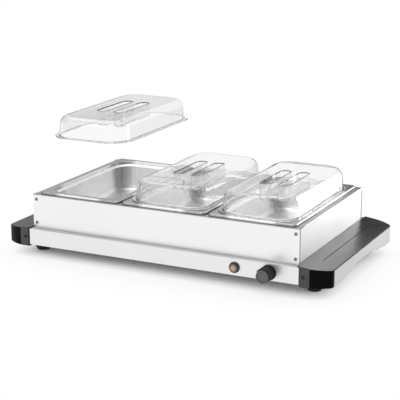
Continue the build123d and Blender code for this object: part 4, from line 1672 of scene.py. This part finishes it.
@dataclass
class Studio:
    """The floor, the light and the camera."""

    eye: Vector = Vector((1.0895, -2.2191, 0.7668))
    target: Vector = Vector((0.00146, -0.004, 0.1069))
    lens: float = 116.5
    sensor: float = 36.0
    floor_size: float = 40.0
    floor_colour: float = 0.9
    dome: Step = (1.0, 0.75)
    dome_span: Step = (0.45, 0.8)
    dome_sides: Step = (1.0, 0.35)
    dome_sides_span: Step = (0.55, 0.85)
    shadow_reach: float = 180.0 * MM
    shadow_samples: int = 24
    shadow_tones: tuple[Step, ...] = (
        (0.0, 0.0), (0.05, 0.12), (0.12, 0.5), (0.2, 0.7), (0.5, 0.92), (0.9, 1.0))
    cards: tuple[GreyCard, ...] = (
        GreyCard("handle_flag", Vector((-0.05, 0.42, 0.05)), Vector((0.32, 0.421, 0.25)), (0.03, 0.03)),
        GreyCard("far_handle_flag", Vector((-0.9, 0.42, 0.05)), Vector((-0.35, 0.421, 0.19)), (0.03, 0.03)),
        GreyCard("lid_flag", Vector((-0.78, 0.60, 0.372)), Vector((-0.31, 0.601, 0.50)), (0.7, 0.15)),
    )
    softboxes: tuple[Softbox, ...] = (
        Softbox("top_softbox", Vector((-0.4, 0.3, 2.4)), Vector((0, 0, 0.1)), (2.0, 2.0), 22.0),
        Softbox("front_softbox", Vector((-1.6, -2.2, 1.4)), Vector((0, 0, 0.1)), (1.6, 1.6), 16.0, False),
        Softbox("side_card", Vector((0.56, 0.50, 0.26)), Vector((0.28, 0, 0.26)), (0.34, 0.5), 1.8),
    )

    def camera(self) -> None:
        """Set the camera at the photograph's viewing angle."""
        data = bpy.data.cameras.new("camera")
        data.lens = self.lens
        data.sensor_width = self.sensor
        bpy.context.scene.camera = stand_aimed("camera", data, self.eye, self.target)

    def floor(self) -> None:
        """Lay a white floor that keeps the object's shadow."""
        floor = Bench.plate("floor", Vector((0, 0, 0)), self.floor_size, self.floor_size)
        shading = Shading("white_floor")
        shadow = shading.add("AmbientOcclusion", {"Distance": self.shadow_reach}, "AO",
                             samples=self.shadow_samples)
        tone = shading.add("ValToRGB", {"Fac": shadow}, "Color")
        stops = tone.node.color_ramp.elements
        while len(stops) < len(self.shadow_tones):
            stops.new(0.5)
        for stop, (start, level) in zip(stops, self.shadow_tones):
            stop.position = start
            stop.color = (*grey(level), 1.0)
        glow = shading.add("Emission", {"Color": tone})
        paint = shading.add("BsdfDiffuse", {"Color": (*grey(self.floor_colour), 1.0)})
        rays = shading.nodes.new("ShaderNodeLightPath").outputs
        seen = shading.work("MAXIMUM", rays["Is Camera Ray"], rays["Is Transmission Ray"])
        shown = shading.work("MAXIMUM", seen, rays["Is Glossy Ray"])
        shading.show(shading.add("MixShader", {0: shown, 1: paint, 2: glow}))
        dress(floor, shading.material)

    def world(self) -> None:
        """Light the scene from a soft dome that is darker above and at the sides."""
        world = bpy.data.worlds.new("studio")
        bpy.context.scene.world = world
        world.use_nodes = True
        tree = NodeBench(world.node_tree)
        way = tree.add("TexCoord", {}, "Generated")
        above = tree.add("SeparateXYZ", {"Vector": way}, "Z")
        aside = tree.work("ABSOLUTE", tree.add("SeparateXYZ", {"Vector": way}, "X"))
        level = tree.work("MULTIPLY", tree.spread(above, *self.dome, *self.dome_span),
                          tree.spread(aside, *self.dome_sides, *self.dome_sides_span))
        background = tree.nodes["Background"]
        background.inputs["Color"].default_value = (1.0, 1.0, 1.0, 1.0)
        tree.links.new(level, background.inputs["Strength"])

    def set_up(self) -> None:
        """Make the camera, the floor and the light."""
        self.camera()
        self.floor()
        self.world()
        for card in self.cards:
            card.stand()
        for softbox in self.softboxes:
            softbox.hang()
        bpy.context.scene.view_settings.view_transform = "Standard"


def make_finishes() -> dict[str, Material]:
    """Make the finishes of all pieces but the indicator's lens.

    Returns:
        The materials by their names.
    """
    satin, dull = (0.3, 0.4), (0.4, 0.5)
    matt = (0.45, 0.55)
    finishes = (
        BrushedSteel("brushed_steel_x"),
        # A copy of the brushed steel painted lighter, as light on the frame's front and rear.
        BrushedSteel("brushed_steel_painted_lit", grey(0.94), grey(0.91)),
        # A rougher copy brushed along Y, painted darker as shade on the frame's sides.
        BrushedSteel("brushed_steel_y_painted_shade", grey(0.79), grey(0.75), (0.46, 0.56), Grain.ALONG_Y),
        # Darker steel, painted shade for the base's ledge.
        BrushedSteel("ledge_steel_painted_shade", grey(0.62), grey(0.57), dull),
        # Dark steel, painted shade for the frame's flanges and the divider bars.
        BrushedSteel("flange_steel_painted_shade", grey(0.36), grey(0.32), dull),
        BrushedSteel("satin_silver", (0.63, 0.63, 0.635), (0.58, 0.58, 0.585), (0.34, 0.44), Grain.ALONG_Y),
        PlatedSteel("plated_steel"),
        PlatedSteel("screw_steel", (0.30, 0.30, 0.31), (0.22, 0.22, 0.23), (0.25, 0.36), 700.0),
        PlatedSteel("dark_screw", grey(0.05), grey(0.03), (0.35, 0.5), 700.0),
        PlatedSteel("element_steel", (0.30, 0.28, 0.26), (0.18, 0.16, 0.15), (0.4, 0.6), 90.0),
        # The pans' steel, with painted shade in the corners of the bowls.
        DrawnSteel("drawn_steel_painted_corner_shade", row=Pan.row()),
        # Darker, duller copy of the pan steel, painted shade on the flat rim.
        DrawnSteel("rim_steel_painted_shade", grey(0.38), grey(0.34), satin, 1.0),
        # Lighter copy of the pan steel, a painted highlight on the stacking shoulder.
        DrawnSteel("shoulder_steel_painted_highlight", grey(0.85), grey(0.80), satin, 1.0),
        ClearPlastic("clear_plastic"),
        # A denser copy of the clear plastic, whose darker tone is painted shade on the lifted lid's
        # outlines.
        ClearPlastic("lifted_clear_plastic_painted_shade", 45.0),
        # Near-black plastic, painted shade for the cut ends in the frame's front seams.
        MouldedPlastic("seam_painted_shade", grey(0.02), grey(0.015), (0.6, 0.7), 0.0),
        MouldedPlastic("handle_plastic", grey(0.005), grey(0.003), satin, 0.03),
        # Glossier black plastic, painted lighter as light on the handle's top.
        MouldedPlastic("handle_top_gloss_painted_light", grey(0.03), grey(0.024), (0.27, 0.33), 0.8),
        # Matte copy of the black plastic, painted greyer as a reflection on the handles' tabs.
        MouldedPlastic("handle_tab_painted_reflection", grey(0.05), grey(0.04), matt),
        MouldedPlastic("black_plastic", grey(0.010), grey(0.006), (0.42, 0.55), 0.2),
        # Greyer matte plastic, painted light on the knob's front face.
        MouldedPlastic("knob_face", grey(0.11), grey(0.09), matt),
        MouldedPlastic("bezel_plastic", (0.012, 0.008, 0.006), (0.008, 0.005, 0.004), satin),
        MouldedPlastic("foot_rubber", grey(0.02), grey(0.013), (0.7, 0.85)),
        MouldedPlastic("terminal_plastic", (0.82, 0.81, 0.77), (0.74, 0.73, 0.69), (0.35, 0.5)),
        MouldedPlastic("lamp_body", (0.7, 0.67, 0.6), (0.6, 0.57, 0.5), (0.4, 0.55)),
    )
    return {finish.name: finish.material() for finish in finishes}


NODE_FINISHES: dict[str, tuple[str, ...]] = {
    # The divider bars between the pans take the painted shade of the flanges.
    "flange_steel_painted_shade": ("left_divider_bar", "right_divider_bar"),
    "dark_screw": ("frame_corner_brackets", "handle_screws"),
    "plated_steel": ("bottom_cover", "warming_plate", "element_retainers", "heat_shield", "thermal_cutout",
                     "thermostat_bracket", "left_end_bracket", "right_end_bracket"),
    "screw_steel": ("foot_screws", "thermostat_shaft"),
    "element_steel": ("heating_element",),
    "satin_silver": ("left_handle_band", "right_handle_band"),
    "foot_rubber": ("front_left_foot", "front_right_foot", "rear_left_foot", "rear_right_foot"),
    "black_plastic": ("indicator_nut", "cord_gland", "gland_nut", "thermostat"),
    "terminal_plastic": ("terminal_block",),
    "lamp_body": ("indicator_lamp",),
}


def dress_nodes(finishes: Mapping[str, Material]) -> None:
    """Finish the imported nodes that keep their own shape.

    Args:
        finishes: The materials by their names.
    """
    for name, nodes in NODE_FINISHES.items():
        for node in nodes:
            dress(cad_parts[node], finishes[name])
            LOG.info("node %s with finish %s", node, name)


def main() -> None:
    """Build every sub-assembly in order, then set the scene."""
    logging.basicConfig(level=logging.INFO, format="%(message)s")
    finishes = make_finishes()

    BaseHousing().dress(finishes["brushed_steel_x"], finishes["ledge_steel_painted_shade"])
    for side in (Side.LEFT, Side.RIGHT):
        Handle(side).dress(finishes["handle_plastic"], finishes["handle_top_gloss_painted_light"], finishes["handle_tab_painted_reflection"])
    BuffetFrame().dress(finishes["brushed_steel_painted_lit"], finishes["brushed_steel_y_painted_shade"],
                        finishes["flange_steel_painted_shade"], finishes["seam_painted_shade"])
    FrameScrews().dress(finishes["screw_steel"])
    Controls().dress(finishes["black_plastic"], finishes["knob_face"], finishes["bezel_plastic"])
    for side in Side:
        Pan(side).dress(finishes["drawn_steel_painted_corner_shade"], finishes["rim_steel_painted_shade"], finishes["shoulder_steel_painted_highlight"])
        # The lifted lid takes the denser copy, painted shade on its outlines.
        lid_finish = "lifted_clear_plastic_painted_shade" if side is Side.LEFT else "clear_plastic"
        Lid(side).dress(finishes[lid_finish])
    dress_nodes(finishes)

    Studio().set_up()


if __name__ == "__main__":
    main()
